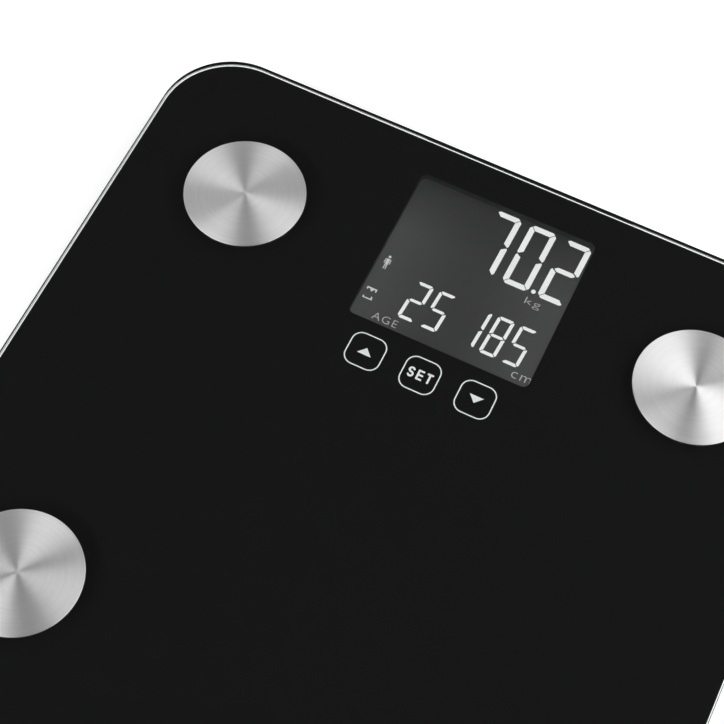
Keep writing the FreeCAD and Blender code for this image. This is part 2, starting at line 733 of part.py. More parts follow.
def foot_retainer():
    """Ring that closes the cup and keeps the foot's flange in."""
    profile = (
        (RETAINER_HOLE_RADIUS, RETAINER_BOTTOM_Z),
        (CUP_RADIUS - RETAINER_EDGE_BEVEL, RETAINER_BOTTOM_Z),
        (CUP_RADIUS, RETAINER_BOTTOM_Z + RETAINER_EDGE_BEVEL),
        (CUP_RADIUS, CUP_BOTTOM_Z),
        (RETAINER_HOLE_RADIUS, CUP_BOTTOM_Z),
    )
    recess_top = RETAINER_BOTTOM_Z + RETAINER_SCREW_HEAD_HEIGHT
    cutters = []
    for x, y in cup_boss_places():
        cutters.append(cylinder(RETAINER_SCREW_HOLE / 2.0, RETAINER_BOTTOM_Z, CUP_BOTTOM_Z, x, y))
        cutters.append(cylinder(RETAINER_SCREW_RECESS / 2.0, RETAINER_BOTTOM_Z, recess_top, x, y))
    return without(turned(profile), cutters)


def foot_retainer_screws():
    screw = pan_screw(
        RETAINER_SCREW_SIZE,
        RETAINER_SCREW_LENGTH,
        RETAINER_SCREW_HEAD,
        RETAINER_SCREW_HEAD_HEIGHT,
        RETAINER_BOTTOM_Z,
    )
    ring = Part.makeCompound([turned_to(screw, 0.0, x, y) for x, y in cup_boss_places()])
    return at_corners(ring)


# ================================================================ load cells and feet
def load_cell():
    """Steel plate with a frame and, cut free on three sides, the tongue that the foot bends."""
    levels = (LOAD_CELL_BOTTOM_Z, LOAD_CELL_TOP_Z)
    plate = centred_plate(0, 0, LOAD_CELL_SIDE, LOAD_CELL_SIDE, LOAD_CELL_CORNER_RADIUS, *levels)
    half = LOAD_CELL_WINDOW / 2.0
    width = LOAD_CELL_TONGUE_HALF_WIDTH
    opening = box(-half, half, -half, half, *levels)
    tongue = box(-half, LOAD_CELL_TONGUE_END, -width, width, *levels)
    return plate.cut(opening.cut(tongue))


def strain_gauge():
    levels = (LOAD_CELL_TOP_Z, LOAD_CELL_TOP_Z + GAUGE_THICKNESS)
    pad = box(GAUGE_START_X, GAUGE_END_X, -GAUGE_HALF_WIDTH, GAUGE_HALF_WIDTH, *levels)
    return bevel_level_edges(pad, GAUGE_THICKNESS / 2.0, levels[1])


def foot_cap():
    """Round cap with a flange, a ribbed hollow top and the boss that bears on the load cell."""
    profile = (
        (0, PAD_TOP_Z),
        (PAD_RECESS_RADIUS, PAD_TOP_Z),
        (PAD_RECESS_RADIUS, FOOT_BOTTOM_Z),
        (FOOT_RADIUS - FOOT_EDGE_BEVEL, FOOT_BOTTOM_Z),
        (FOOT_RADIUS, FOOT_BOTTOM_Z + FOOT_EDGE_BEVEL),
        (FOOT_RADIUS, FOOT_FLANGE_Z),
        (FOOT_FLANGE_RADIUS, FOOT_FLANGE_Z),
        (FOOT_FLANGE_RADIUS, FOOT_TOP_Z),
        (FOOT_RADIUS - FOOT_WALL, FOOT_TOP_Z),
        (FOOT_RADIUS - FOOT_WALL, FOOT_FLOOR_TOP_Z),
        (FOOT_BOSS_RADIUS, FOOT_FLOOR_TOP_Z),
        (FOOT_BOSS_RADIUS, LOAD_CELL_BOTTOM_Z),
        (0, LOAD_CELL_BOTTOM_Z),
    )
    half = FOOT_RIB_WIDTH / 2.0
    rib = box(0, FOOT_RADIUS - FOOT_WALL, -half, half, FOOT_FLOOR_TOP_Z, FOOT_RIB_TOP_Z)
    ribs = [turned_to(rib, FULL_TURN / FOOT_RIB_COUNT * turn, 0, 0) for turn in range(FOOT_RIB_COUNT)]
    return joined([turned(profile)] + ribs)


def foot_pad():
    """Rubber disc with grooved rings in its underside."""
    profile = (
        (0, 0),
        (PAD_RADIUS - PAD_EDGE_BEVEL, 0),
        (PAD_RADIUS, PAD_EDGE_BEVEL),
        (PAD_RADIUS, PAD_TOP_Z),
        (0, PAD_TOP_Z),
    )
    grooves = [tube(r + PAD_GROOVE_WIDTH, r, 0, PAD_GROOVE_DEPTH) for r in PAD_GROOVE_RADII]
    return without(turned(profile), grooves)


# ================================================================ display stack
def lcd_levels():
    """Heights, from the top down, of the faces between the layers of the LCD."""
    top = LCD_TOP_Z
    glass_top = top - POLARISER_THICKNESS
    glass_bottom = glass_top - LCD_GLASS_THICKNESS
    bottom = glass_bottom - POLARISER_THICKNESS
    return top, glass_top, glass_bottom, bottom


def lcd_gasket():
    levels = (GASKET_BOTTOM_Z, PRINT_BOTTOM_Z)
    rim = 2 * GASKET_WIDTH
    gap = 2 * BEZEL_CLEARANCE
    radius = WINDOW_CORNER_RADIUS
    outer = window_plate(WINDOW_WIDTH + rim, WINDOW_HEIGHT + rim, radius + GASKET_WIDTH, *levels)
    return outer.cut(window_plate(WINDOW_WIDTH + gap, WINDOW_HEIGHT + gap, radius, *levels))


def lcd_polarisers():
    top, glass_top, glass_bottom, bottom = lcd_levels()
    width = LCD_WIDTH - 2 * POLARISER_INSET
    height = LCD_HEIGHT - 2 * POLARISER_INSET
    front = window_plate(width, height, LCD_CORNER_RADIUS, glass_top, top)
    rear_front_y = WINDOW_CENTRE_Y - LCD_HEIGHT / 2.0 + BACKLIGHT_FRONT_GAP
    rear_back_y = WINDOW_CENTRE_Y + height / 2.0
    left = WINDOW_CENTRE_X - width / 2.0
    rear = box(left, left + width, rear_front_y, rear_back_y, bottom, glass_bottom)
    return Part.makeCompound([front, rear])


def lcd_cell():
    glass_top, glass_bottom = lcd_levels()[1:3]
    return window_plate(LCD_WIDTH, LCD_HEIGHT, LCD_CORNER_RADIUS, glass_bottom, glass_top)


def backlight_box():
    """Plan limits (x0, x1, y0, y1) of the backlight guide."""
    x0 = WINDOW_CENTRE_X - LCD_WIDTH / 2.0
    x1 = WINDOW_CENTRE_X + LCD_WIDTH / 2.0 - BACKLIGHT_SIDE_GAP
    y0 = WINDOW_CENTRE_Y - LCD_HEIGHT / 2.0 + BACKLIGHT_FRONT_GAP
    y1 = WINDOW_CENTRE_Y + LCD_HEIGHT / 2.0
    return x0, x1, y0, y1


def backlight_guide():
    bottom = lcd_levels()[3]
    return box(*backlight_box(), bottom - BACKLIGHT_THICKNESS, bottom)


def backlight_leds():
    x = backlight_box()[1]
    half = LED_WIDTH / 2.0
    leds = []
    for step in range(LED_COUNT):
        y = WINDOW_CENTRE_Y + (step - (LED_COUNT - 1) / 2.0) * LED_PITCH
        leds.append(box(x, x + LED_SIZE, y - half, y + half, BOARD_TOP_Z, BOARD_TOP_Z + LED_SIZE))
    return Part.makeCompound(leds)


def zebra_strips():
    """Elastomer connectors from the board up to the contact edge of the LCD."""
    top = lcd_levels()[2]
    y0 = WINDOW_CENTRE_Y - LCD_HEIGHT / 2.0 + ZEBRA_FRONT_GAP
    half = ZEBRA_LENGTH / 4.0
    strips = []
    for side in (-1, 1):
        x = WINDOW_CENTRE_X + side * (half + ZEBRA_FRONT_GAP)
        strips.append(box(x - half, x + half, y0, y0 + ZEBRA_DEPTH, BOARD_TOP_Z, top))
    return Part.makeCompound(strips)


def holder_limits():
    """Plan limits (x0, x1, y0, y1) of the LCD holder without its front ledge."""
    half_width = LCD_WIDTH / 2.0 + LCD_STACK_CLEARANCE + HOLDER_WALL
    half_height = LCD_HEIGHT / 2.0 + LCD_STACK_CLEARANCE + HOLDER_WALL
    return (
        WINDOW_CENTRE_X - half_width,
        WINDOW_CENTRE_X + half_width,
        WINDOW_CENTRE_Y - half_height,
        WINDOW_CENTRE_Y + half_height,
    )


def board_screw_places():
    y0, y1 = holder_limits()[2:]
    front = y0 - HOLDER_FRONT_LEDGE / 2.0
    back = y1 - HOLDER_WALL / 2.0
    return [(side * BOARD_SCREW_X, y) for side in (-1, 1) for y in (front, back)]


def lcd_holder():
    """Frame around the LCD, with a bezel over its edge and a ledge that screws to the board."""
    x0, x1, y0, y1 = holder_limits()
    pocket_width = LCD_WIDTH + 2 * LCD_STACK_CLEARANCE
    pocket_height = LCD_HEIGHT + 2 * LCD_STACK_CLEARANCE
    gap = 2 * BEZEL_CLEARANCE
    frame = rounded_plate(x0, x1, y0, y1, HOLDER_WALL, BOARD_TOP_Z, GASKET_BOTTOM_Z)
    ledge = box(x0, x1, y0 - HOLDER_FRONT_LEDGE, y0 + HOLDER_WALL, BOARD_TOP_Z, HOLDER_LEDGE_TOP_Z)
    lug_radius = HOLDER_FRONT_LEDGE / 2.0
    lugs = [cylinder(lug_radius, BOARD_TOP_Z, HOLDER_LEDGE_TOP_Z, x, y) for x, y in board_screw_places()]
    pocket = window_plate(pocket_width, pocket_height, LCD_CORNER_RADIUS, BOARD_TOP_Z, LCD_TOP_Z)
    bezel_levels = (LCD_TOP_Z, GASKET_BOTTOM_Z)
    window = window_plate(WINDOW_WIDTH + gap, WINDOW_HEIGHT + gap, WINDOW_CORNER_RADIUS, *bezel_levels)
    pilot = BOARD_SCREW_SIZE / 2.0 + SCREW_CLEARANCE
    pilot_top = BOARD_TOP_Z + BOARD_SCREW_LENGTH - BOARD_THICKNESS
    pilots = [cylinder(pilot, BOARD_TOP_Z, pilot_top, x, y) for x, y in board_screw_places()]
    return without(joined([frame, ledge] + lugs), [pocket, window] + pilots)


# ================================================================ main board
def main_board():
    levels = (BOARD_BOTTOM_Z, BOARD_TOP_Z)
    half = BOARD_HALF_WIDTH
    plate = rounded_plate(-half, half, BOARD_FRONT_Y, BOARD_BACK_Y, BOARD_CORNER_RADIUS, *levels)
    reach = COVER_BOSS_RADIUS + BOARD_NOTCH_CLEARANCE
    cutters = []
    for x, y in cover_screw_places():
        outer = math.copysign(BOARD_HALF_WIDTH, x)
        cutters.append(cylinder(reach, *levels, x, y))
        cutters.append(box(min(x, outer), max(x, outer), y - reach, y + reach, *levels))
    hole_radius = BOARD_SCREW_SIZE / 2.0 + SCREW_CLEARANCE
    cutters += [cylinder(hole_radius, *levels, x, y) for x, y in board_screw_places()]
    return without(plate, cutters)


def chip_blob():
    """Low dome of potting resin over the bare chip, under the board."""
    ball_radius = (BLOB_RADIUS**2 + BLOB_HEIGHT**2) / (2 * BLOB_HEIGHT)
    bottom = BOARD_BOTTOM_Z - BLOB_HEIGHT
    ball = Part.makeSphere(ball_radius, Vector(0, 0, bottom + ball_radius))
    return turned_to(ball.common(cylinder(BLOB_RADIUS, bottom, BOARD_BOTTOM_Z)), 0.0, BLOB_X, BLOB_Y)


def board_components():
    """Potted chip, crystal can, two capacitors and rows of small chip parts under the board."""
    crystal_bottom = BOARD_BOTTOM_Z - CRYSTAL_HEIGHT
    crystal = centred_plate(
        CRYSTAL_X,
        CRYSTAL_Y,
        CRYSTAL_LENGTH,
        CRYSTAL_WIDTH,
        CRYSTAL_CORNER_RADIUS,
        crystal_bottom,
        BOARD_BOTTOM_Z,
    )
    parts = [chip_blob(), crystal]
    for x in CAPACITOR_XS:
        bottom = BOARD_BOTTOM_Z - CAPACITOR_HEIGHT
        parts.append(cylinder(CAPACITOR_RADIUS, bottom, BOARD_BOTTOM_Z, x, CAPACITOR_Y))
    for row in range(CHIP_ROWS):
        for column in range(CHIP_COLUMNS):
            x = CHIP_FIRST_X + CHIP_PITCH * column
            y = CHIP_FIRST_Y + CHIP_PITCH * row
            levels = (BOARD_BOTTOM_Z - CHIP_HEIGHT, BOARD_BOTTOM_Z)
            parts.append(box(x, x + CHIP_LENGTH, y, y + CHIP_WIDTH, *levels))
    return Part.makeCompound(parts)


def board_screws():
    screw = pan_screw(
        BOARD_SCREW_SIZE,
        BOARD_SCREW_LENGTH,
        BOARD_SCREW_HEAD,
        BOARD_SCREW_HEAD_HEIGHT,
        BOARD_BOTTOM_Z - BOARD_SCREW_HEAD_HEIGHT,
    )
    return Part.makeCompound([turned_to(screw, 0.0, x, y) for x, y in board_screw_places()])


def touch_springs():
    height = PRINT_BOTTOM_Z - BOARD_TOP_Z
    spring = coil(TOUCH_SPRING_RADIUS, TOUCH_SPRING_WIRE, TOUCH_SPRING_PITCH, height)
    spring.translate(Vector(0, 0, BOARD_TOP_Z))
    return Part.makeCompound([turned_to(spring, 0.0, x, KEY_ROW_Y) for x in key_xs()])


# ================================================================ housing and cover
def display_housing():
    wall = housing_block(COVER_TOP_Z, TAPE_BOTTOM_Z)
    lip_bottom = TAPE_BOTTOM_Z - HOUSING_LIP_THICKNESS
    hollow = housing_block(COVER_TOP_Z, lip_bottom, HOUSING_WALL)
    lip = HOUSING_WALL + HOUSING_LIP_WIDTH
    back_lip = HOUSING_WALL + HOUSING_BACK_LIP_WIDTH
    mouth = housing_block(lip_bottom, TAPE_BOTTOM_Z, lip, back_lip)
    frame = without(wall, [hollow, mouth])
    bosses = []
    for x, y in cover_screw_places():
        bosses.append(cylinder(COVER_BOSS_RADIUS, COVER_TOP_Z, lip_bottom, x, y))
    frame = joined([frame] + bosses)
    radius = COVER_SCREW_SIZE / 2.0 + SCREW_CLEARANCE
    pilot_top = COVER_TOP_Z + COVER_SCREW_LENGTH
    pilots = [cylinder(radius, COVER_TOP_Z, pilot_top, x, y) for x, y in cover_screw_places()]
    return without(frame, pilots + [duct_void(name) for name in CORNERS])


def cover_ribs():
    """Shallow parallel grooves moulded in the outside of the rear cover."""
    grooves = []
    for step in range(COVER_RIB_COUNT):
        y = COVER_RIB_CENTRE_Y + (step - (COVER_RIB_COUNT - 1) / 2.0) * COVER_RIB_PITCH
        levels = (COVER_BOTTOM_Z, COVER_BOTTOM_Z + COVER_RIB_DEPTH)
        radius = COVER_RIB_WIDTH / 2.0 - SCREW_CLEARANCE
        grooves.append(centred_plate(0, y, COVER_RIB_LENGTH, COVER_RIB_WIDTH, radius, *levels))
    return grooves


def rear_cover():
    plate = bevel_level_edges(housing_block(COVER_BOTTOM_Z, COVER_TOP_Z), COVER_EDGE_BEVEL, COVER_BOTTOM_Z)
    places = [(side * COVER_POST_X, y) for side in (-1, 1) for y in COVER_POST_YS]
    posts = [cylinder(COVER_POST_RADIUS, COVER_TOP_Z, BOARD_BOTTOM_Z, x, y) for x, y in places]
    cutters = []
    for x, y in cover_screw_places():
        cutters.append(cylinder(COVER_SCREW_HOLE / 2.0, COVER_BOTTOM_Z, COVER_TOP_Z, x, y))
        recess_top = COVER_BOTTOM_Z + COVER_SCREW_HEAD_HEIGHT
        cutters.append(cylinder(COVER_SCREW_RECESS / 2.0, COVER_BOTTOM_Z, recess_top, x, y))
    opening = DOOR_HALF_WIDTH + DOOR_CLEARANCE
    groove = opening + DOOR_TONGUE_REACH
    back = DOOR_BACK_Y + DOOR_CLEARANCE
    groove_z = COVER_BOTTOM_Z + DOOR_THICKNESS - DOOR_TONGUE_THICKNESS - DOOR_CLEARANCE
    cutters.append(box(-opening, opening, HOUSING_FRONT_Y, back, COVER_BOTTOM_Z, COVER_TOP_Z))
    cutters.append(box(-groove, groove, HOUSING_FRONT_Y, back, groove_z, COVER_TOP_Z))
    unit_hole = UNIT_BUTTON_RADIUS + UNIT_HOLE_CLEARANCE
    dish_top = COVER_BOTTOM_Z + UNIT_DISH_DEPTH
    cutters.append(cylinder(unit_hole, COVER_BOTTOM_Z, COVER_TOP_Z, UNIT_X, UNIT_Y))
    cutters.append(cylinder(UNIT_DISH_RADIUS, COVER_BOTTOM_Z, dish_top, UNIT_X, UNIT_Y))
    return without(joined([plate] + posts), cutters + cover_ribs())


def rear_cover_screws():
    screw = pan_screw(
        COVER_SCREW_SIZE,
        COVER_SCREW_LENGTH,
        COVER_SCREW_HEAD,
        COVER_SCREW_HEAD_HEIGHT,
        COVER_BOTTOM_Z,
    )
    return Part.makeCompound([turned_to(screw, 0.0, x, y) for x, y in cover_screw_places()])


# ================================================================ unit button
def unit_button():
    top = UNIT_FLANGE_Z + UNIT_FLANGE_THICKNESS
    bevel = UNIT_DISH_DEPTH / 2.0
    profile = (
        (0, UNIT_BUTTON_BOTTOM_Z),
        (UNIT_BUTTON_RADIUS - bevel, UNIT_BUTTON_BOTTOM_Z),
        (UNIT_BUTTON_RADIUS, UNIT_BUTTON_BOTTOM_Z + bevel),
        (UNIT_BUTTON_RADIUS, UNIT_FLANGE_Z),
        (UNIT_FLANGE_RADIUS, UNIT_FLANGE_Z),
        (UNIT_FLANGE_RADIUS, top),
        (0, top),
    )
    return turned_to(turned(profile), 0.0, UNIT_X, UNIT_Y)


def unit_switch_plunger():
    bottom = UNIT_FLANGE_Z + UNIT_FLANGE_THICKNESS
    return cylinder(UNIT_PLUNGER_RADIUS, bottom, bottom + UNIT_PLUNGER_HEIGHT, UNIT_X, UNIT_Y)


def unit_switch_body():
    half = UNIT_SWITCH_SIDE / 2.0
    bottom = BOARD_BOTTOM_Z - UNIT_SWITCH_HEIGHT
    body = box(UNIT_X - half, UNIT_X + half, UNIT_Y - half, UNIT_Y + half, bottom, BOARD_BOTTOM_Z)
    bore = UNIT_PLUNGER_RADIUS + UNIT_SWITCH_BORE_CLEARANCE
    return body.cut(cylinder(bore, bottom, BOARD_BOTTOM_Z - UNIT_SWITCH_ROOF, UNIT_X, UNIT_Y))


# ================================================================ batteries
def battery_tray():
    block = box(-TRAY_HALF_WIDTH, TRAY_HALF_WIDTH, TRAY_FRONT_Y, TRAY_BACK_Y, COVER_TOP_Z, TRAY_TOP_Z)
    half = TRAY_HALF_WIDTH - TRAY_WALL
    front = TRAY_FRONT_Y + TRAY_WALL
    back = TRAY_BACK_Y - TRAY_WALL
    return block.cut(box(-half, half, front, back, COVER_TOP_Z, TRAY_TOP_Z - TRAY_ROOF))


def along_x(shape, direction, x, y):
    """Copy of a shape drawn up Z, laid along +X or -X at the cells' height."""
    moved = shape.copy()
    moved.rotate(Vector(0, 0, 0), Vector(0, 1, 0), 90.0 * direction)
    moved.translate(Vector(x, y, CELL_AXIS_Z))
    return moved


def cell_sides():
    """(direction of the positive end along X, y) of the two cells."""
    return list(zip((1, -1), cell_ys()))


def batteries():
    profile = (
        (0, 0),
        (CELL_RADIUS - CELL_EDGE_ROUND, 0),
        (CELL_RADIUS, CELL_EDGE_ROUND),
        (CELL_RADIUS, CELL_BODY_LENGTH - CELL_EDGE_ROUND),
        (CELL_RADIUS - CELL_EDGE_ROUND, CELL_BODY_LENGTH),
        (CELL_NUB_RADIUS, CELL_BODY_LENGTH),
        (CELL_NUB_RADIUS, CELL_BODY_LENGTH + CELL_NUB_LENGTH),
        (0, CELL_BODY_LENGTH + CELL_NUB_LENGTH),
    )
    cell = turned(profile)
    start = CELL_NUB_END_X - CELL_BODY_LENGTH - CELL_NUB_LENGTH
    return Part.makeCompound([along_x(cell, side, side * start, y) for side, y in cell_sides()])


def battery_contacts():
    """A plate with a dimple at each positive end, and a plate with a coil at each negative end."""
    half = CONTACT_SIDE / 2.0
    plate = box(-half, half, -half, half, 0, CONTACT_THICKNESS)
    dimple = cylinder(CONTACT_DIMPLE_RADIUS, CELL_NUB_END_X - CONTACT_FACE_X, 0)
    positive = joined([plate, dimple])
    spring_length = CONTACT_FACE_X + CELL_NUB_END_X - CELL_BODY_LENGTH - CELL_NUB_LENGTH
    spring = coil(CONTACT_SPRING_RADIUS, CONTACT_SPRING_WIRE, CONTACT_SPRING_PITCH, spring_length)
    spring.translate(Vector(0, 0, -spring_length))
    pieces = []
    for side, y in cell_sides():
        pieces.append(along_x(positive, side, side * CONTACT_FACE_X, y))
        pieces.append(along_x(plate, -side, -side * CONTACT_FACE_X, y))
        pieces.append(along_x(spring, -side, -side * CONTACT_FACE_X, y))
    return Part.makeCompound(pieces)


def battery_leads():
    z = BOARD_TOP_Z + LEAD_RADIUS
    leads = []
    for side in (-1, 1):
        start = Vector(side * BATTERY_LEAD_X, TRAY_BACK_Y, z)
        leads.append(Part.makeCylinder(LEAD_RADIUS, BATTERY_LEAD_END_Y - TRAY_BACK_Y, start, Vector(0, 1, 0)))
    return Part.makeCompound(leads)


def battery_door():
    """Plate that slides towards the front, with side tongues, grip grooves and a plain arrow."""
    top = COVER_BOTTOM_Z + DOOR_THICKNESS
    plate = box(-DOOR_HALF_WIDTH, DOOR_HALF_WIDTH, HOUSING_FRONT_Y, DOOR_BACK_Y, COVER_BOTTOM_Z, top)
    reach = DOOR_HALF_WIDTH + DOOR_TONGUE_REACH
    tongues = box(-reach, reach, HOUSING_FRONT_Y, DOOR_BACK_Y, top - DOOR_TONGUE_THICKNESS, top)
    groove_top = COVER_BOTTOM_Z + DOOR_GRIP_DEPTH
    half = DOOR_GRIP_LENGTH / 2.0
    cutters = []
    for step in range(DOOR_GRIP_COUNT):
        y = DOOR_GRIP_FRONT_Y + step * DOOR_GRIP_PITCH
        cutters.append(box(-half, half, y, y + DOOR_GRIP_WIDTH, COVER_BOTTOM_Z, groove_top))
    cutters.append(arrow(0, DOOR_ARROW_Y, DOOR_ARROW_WIDTH, -DOOR_ARROW_HEIGHT, COVER_BOTTOM_Z, groove_top))
    return without(joined([plate, tongues]), cutters)


# ================================================================ ducts and leads
def wire_duct(name):
    """Inverted channel with side flanges, from a foot housing to the display housing."""
    length = duct_length(name)
    half = DUCT_WIDTH / 2.0
    flange_half = DUCT_FLANGE_WIDTH / 2.0
    channel = box(DUCT_START, length, -half, half, DUCT_BOTTOM_Z, TAPE_BOTTOM_Z)
    flange_bottom = TAPE_BOTTOM_Z - DUCT_FLANGE_THICKNESS
    flange = box(DUCT_START, length, -flange_half, flange_half, flange_bottom, TAPE_BOTTOM_Z)
    hollow = box(DUCT_START, length, DUCT_WALL - half, half - DUCT_WALL, DUCT_FLOOR_Z, TAPE_BOTTOM_Z)
    duct = at_corner(joined([channel, flange]).cut(hollow), name)
    levels = (DUCT_BOTTOM_Z, TAPE_BOTTOM_Z)
    return without(duct, [cylinder(CUP_RADIUS, *levels, *corner_centre(name)), housing_block(*levels)])


def to_row(name, points):
    """Points drawn about a corner with its duct along +X, in the row's own axes."""
    x, y = corner_centre(name)
    turn = math.radians(duct_angle(name))
    cosine, sine = math.cos(turn), math.sin(turn)
    return [Vector(x + px * cosine - py * sine, y + px * sine + py * cosine, pz) for px, py, pz in points]


def lead_tail(name, offset):
    """Points that take a lead from the duct's line to its pad on the board."""
    side_x, side_y = CORNERS[name]
    if side_y > 0:
        reach = CORNER_X - BACK_PAD_X
        return to_row(name, [(reach, offset, LEAD_Z), (reach, offset, BOARD_TOP_Z)])
    centre_x, centre_y = corner_centre(name)
    turn = math.radians(duct_angle(name))
    run_x = side_x * FRONT_RUN_X - offset
    along = (run_x - centre_x + math.sin(turn) * offset) / math.cos(turn)
    corner = to_row(name, [(along, offset, LEAD_Z)])[0]
    return [corner, Vector(run_x, FRONT_PAD_Y, LEAD_Z), Vector(run_x, FRONT_PAD_Y, BOARD_TOP_Z)]


def load_cell_leads():
    leads = []
    for name in CORNERS:
        for index, offset in enumerate(CELL_LEAD_OFFSETS):
            x = CELL_LEAD_FIRST_X + index * CELL_LEAD_STEP
            y = CELL_LEAD_OUTER_Y + index * CELL_LEAD_STEP
            earlier = index * CELL_LEAD_TURN_STEP
            start = [
                (x, -GAUGE_HALF_WIDTH, CELL_LEAD_Z),
                (x, y, CELL_LEAD_Z),
                (CELL_LEAD_TURN_X - earlier, y, CELL_LEAD_Z),
                (LEAD_RISE_END_X - earlier, offset, LEAD_Z),
            ]
            leads.append(swept(bent_path(to_row(name, start) + lead_tail(name, offset)), LEAD_RADIUS))
    return Part.makeCompound(leads)


def electrode_leads():
    leads = []
    for name in CORNERS:
        start = [
            (TERMINAL_BARREL_END, 0, LEAD_Z),
            (ELECTRODE_LEAD_TURN_X, 0, LEAD_Z),
            (LEAD_RISE_END_X, ELECTRODE_LEAD_OFFSET, LEAD_Z),
        ]
        route = to_row(name, start) + lead_tail(name, ELECTRODE_LEAD_OFFSET)
        leads.append(swept(bent_path(route), LEAD_RADIUS))
    return Part.makeCompound(leads)


# ================================================================ the whole scale
def all_parts():
    parts = {
        "glass_platform": glass_platform(),
        "black_screen_print": black_screen_print(),
        "white_key_print": white_key_print(),
        "mounting_tapes": mounting_tapes(),
        "electrode_adhesives": at_corners(adhesive_ring()),
        "stud_bushes": at_corners(stud_bush()),
        "ring_terminals": at_corners(ring_terminal()),
        "electrode_washers": at_corners(washer()),
        "electrode_nuts": at_corners(nut()),
        "foot_retainer_screws": foot_retainer_screws(),
        "strain_gauges": at_corners(strain_gauge()),
        "load_cell_leads": load_cell_leads(),
        "electrode_leads": electrode_leads(),
        "wire_ducts": Part.makeCompound([wire_duct(name) for name in CORNERS]),
        "display_housing": display_housing(),
        "rear_cover": rear_cover(),
        "rear_cover_screws": rear_cover_screws(),
        "lcd_gasket": lcd_gasket(),
        "lcd_holder": lcd_holder(),
        "lcd_polarisers": lcd_polarisers(),
        "lcd_cell": lcd_cell(),
        "backlight_guide": backlight_guide(),
        "backlight_leds": backlight_leds(),
        "zebra_strips": zebra_strips(),
        "main_board": main_board(),
        "board_components": board_components(),
        "board_screws": board_screws(),
        "touch_springs": touch_springs(),
        "battery_tray": battery_tray(),
        "batteries": batteries(),
        "battery_contacts": battery_contacts(),
        "battery_leads": battery_leads(),
        "battery_door": battery_door(),
        "unit_button": unit_button(),
        "unit_switch_plunger": unit_switch_plunger(),
        "unit_switch_body": unit_switch_body(),
    }
    for name in CORNERS:
        parts["electrode_" + name] = at_corner(electrode(), name)
        parts["foot_housing_" + name] = foot_housing(name)
        parts["foot_retainer_" + name] = at_corner(foot_retainer(), name)
        parts["load_cell_" + name] = at_corner(load_cell(), name)
        parts["foot_cap_" + name] = at_corner(foot_cap(), name)
        parts["foot_pad_" + name] = at_corner(foot_pad(), name)
    return parts


def main():
    os.makedirs("parts", exist_ok=True)
    for node, shape in all_parts().items():
        shape.exportStep("parts/" + node + ".step")
        print(node, len(shape.Solids), "solids", round(shape.Volume, 2), "mm3", "valid", shape.isValid())


main()
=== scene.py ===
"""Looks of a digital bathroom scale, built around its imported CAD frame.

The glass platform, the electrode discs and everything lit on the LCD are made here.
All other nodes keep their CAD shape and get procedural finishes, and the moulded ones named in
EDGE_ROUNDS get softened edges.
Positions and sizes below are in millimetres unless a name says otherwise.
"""

import json
import math

import bmesh
import bpy
from mathutils import Matrix, Vector
from mathutils.geometry import tessellate_polygon


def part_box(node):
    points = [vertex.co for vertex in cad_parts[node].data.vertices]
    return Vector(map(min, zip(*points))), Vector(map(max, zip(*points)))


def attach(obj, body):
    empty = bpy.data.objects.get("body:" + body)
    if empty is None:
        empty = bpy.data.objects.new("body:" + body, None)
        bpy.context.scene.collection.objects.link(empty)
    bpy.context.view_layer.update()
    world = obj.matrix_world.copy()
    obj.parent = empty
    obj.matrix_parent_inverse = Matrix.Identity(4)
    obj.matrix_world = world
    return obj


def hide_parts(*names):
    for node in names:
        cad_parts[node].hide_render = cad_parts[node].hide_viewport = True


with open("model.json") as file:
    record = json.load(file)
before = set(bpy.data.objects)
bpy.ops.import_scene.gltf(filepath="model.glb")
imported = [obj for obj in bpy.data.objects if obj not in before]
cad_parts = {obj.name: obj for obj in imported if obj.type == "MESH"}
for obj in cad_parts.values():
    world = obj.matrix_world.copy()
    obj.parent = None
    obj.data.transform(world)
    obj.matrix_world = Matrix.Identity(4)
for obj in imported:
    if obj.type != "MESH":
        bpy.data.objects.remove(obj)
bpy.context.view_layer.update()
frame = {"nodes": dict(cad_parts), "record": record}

MM = 0.001
MERGE_DISTANCE_METRES = 1e-7
PLATFORM = "platform"
CORNERS = ("back_left", "back_right", "front_left", "front_right")

# Glass platform
GLASS_HALF_SIDE = 150.0
GLASS_CORNER_RADIUS = 31.0
GLASS_TOP_Z = 24.0
GLASS_BOTTOM_Z = 18.98  # 0.02 into the screen print, so that no air gap reflects between them
GLASS_TOP_ROUND = 0.2
GLASS_BOTTOM_ROUND = 0.2
GLASS_HOLE_RADIUS = 4.0
GLASS_CORNER_STEPS = 48
GLASS_ROUND_STEPS = 8
GLASS_HOLE_STEPS = 48
GLASS_IOR = 1.52
GLASS_TINTS = ((0.975, 0.985, 0.98), (0.985, 0.995, 0.99))
GLASS_SHADOW_TINT = (0.95, 0.965, 0.96)
GLASS_DEPTH_COLOUR = (0.0, 0.33, 0.20, 1.0)
GLASS_DEPTH_DENSITY = 9.0

# Electrode discs
DISC_RADIUS = 24.85
DISC_TOP_Z = 25.0
DISC_BOTTOM_Z = 24.3
DISC_RIM_ROUND = 0.22
DISC_BACK_CHAMFER = 0.05
DISC_FLAT_RINGS = (0.0, 4.0, 8.0)
DISC_CROWN_START = 13.0
DISC_CROWN_DROP = 0.12
DISC_CROWN_STEPS = 16
DISC_ROUND_STEPS = 6
DISC_TURN_STEPS = 256
STUD_RADIUS = 1.5
STUD_END_Z = 12.9
STUD_CHAMFER = 0.25

# Grooves of the spun steel: scale in X and Y of the direction, and along the radius per metre
FINE_GROOVES = (1.3, 1.3, 9000.0)
BROAD_GROOVES = (0.8, 0.8, 900.0)
STEEL_ROUGHNESS = (0.40, 0.55)
STEEL_ROUGHNESS_RADII_METRES = (0.0, 0.025)
STEEL_ANISOTROPY = 0.86

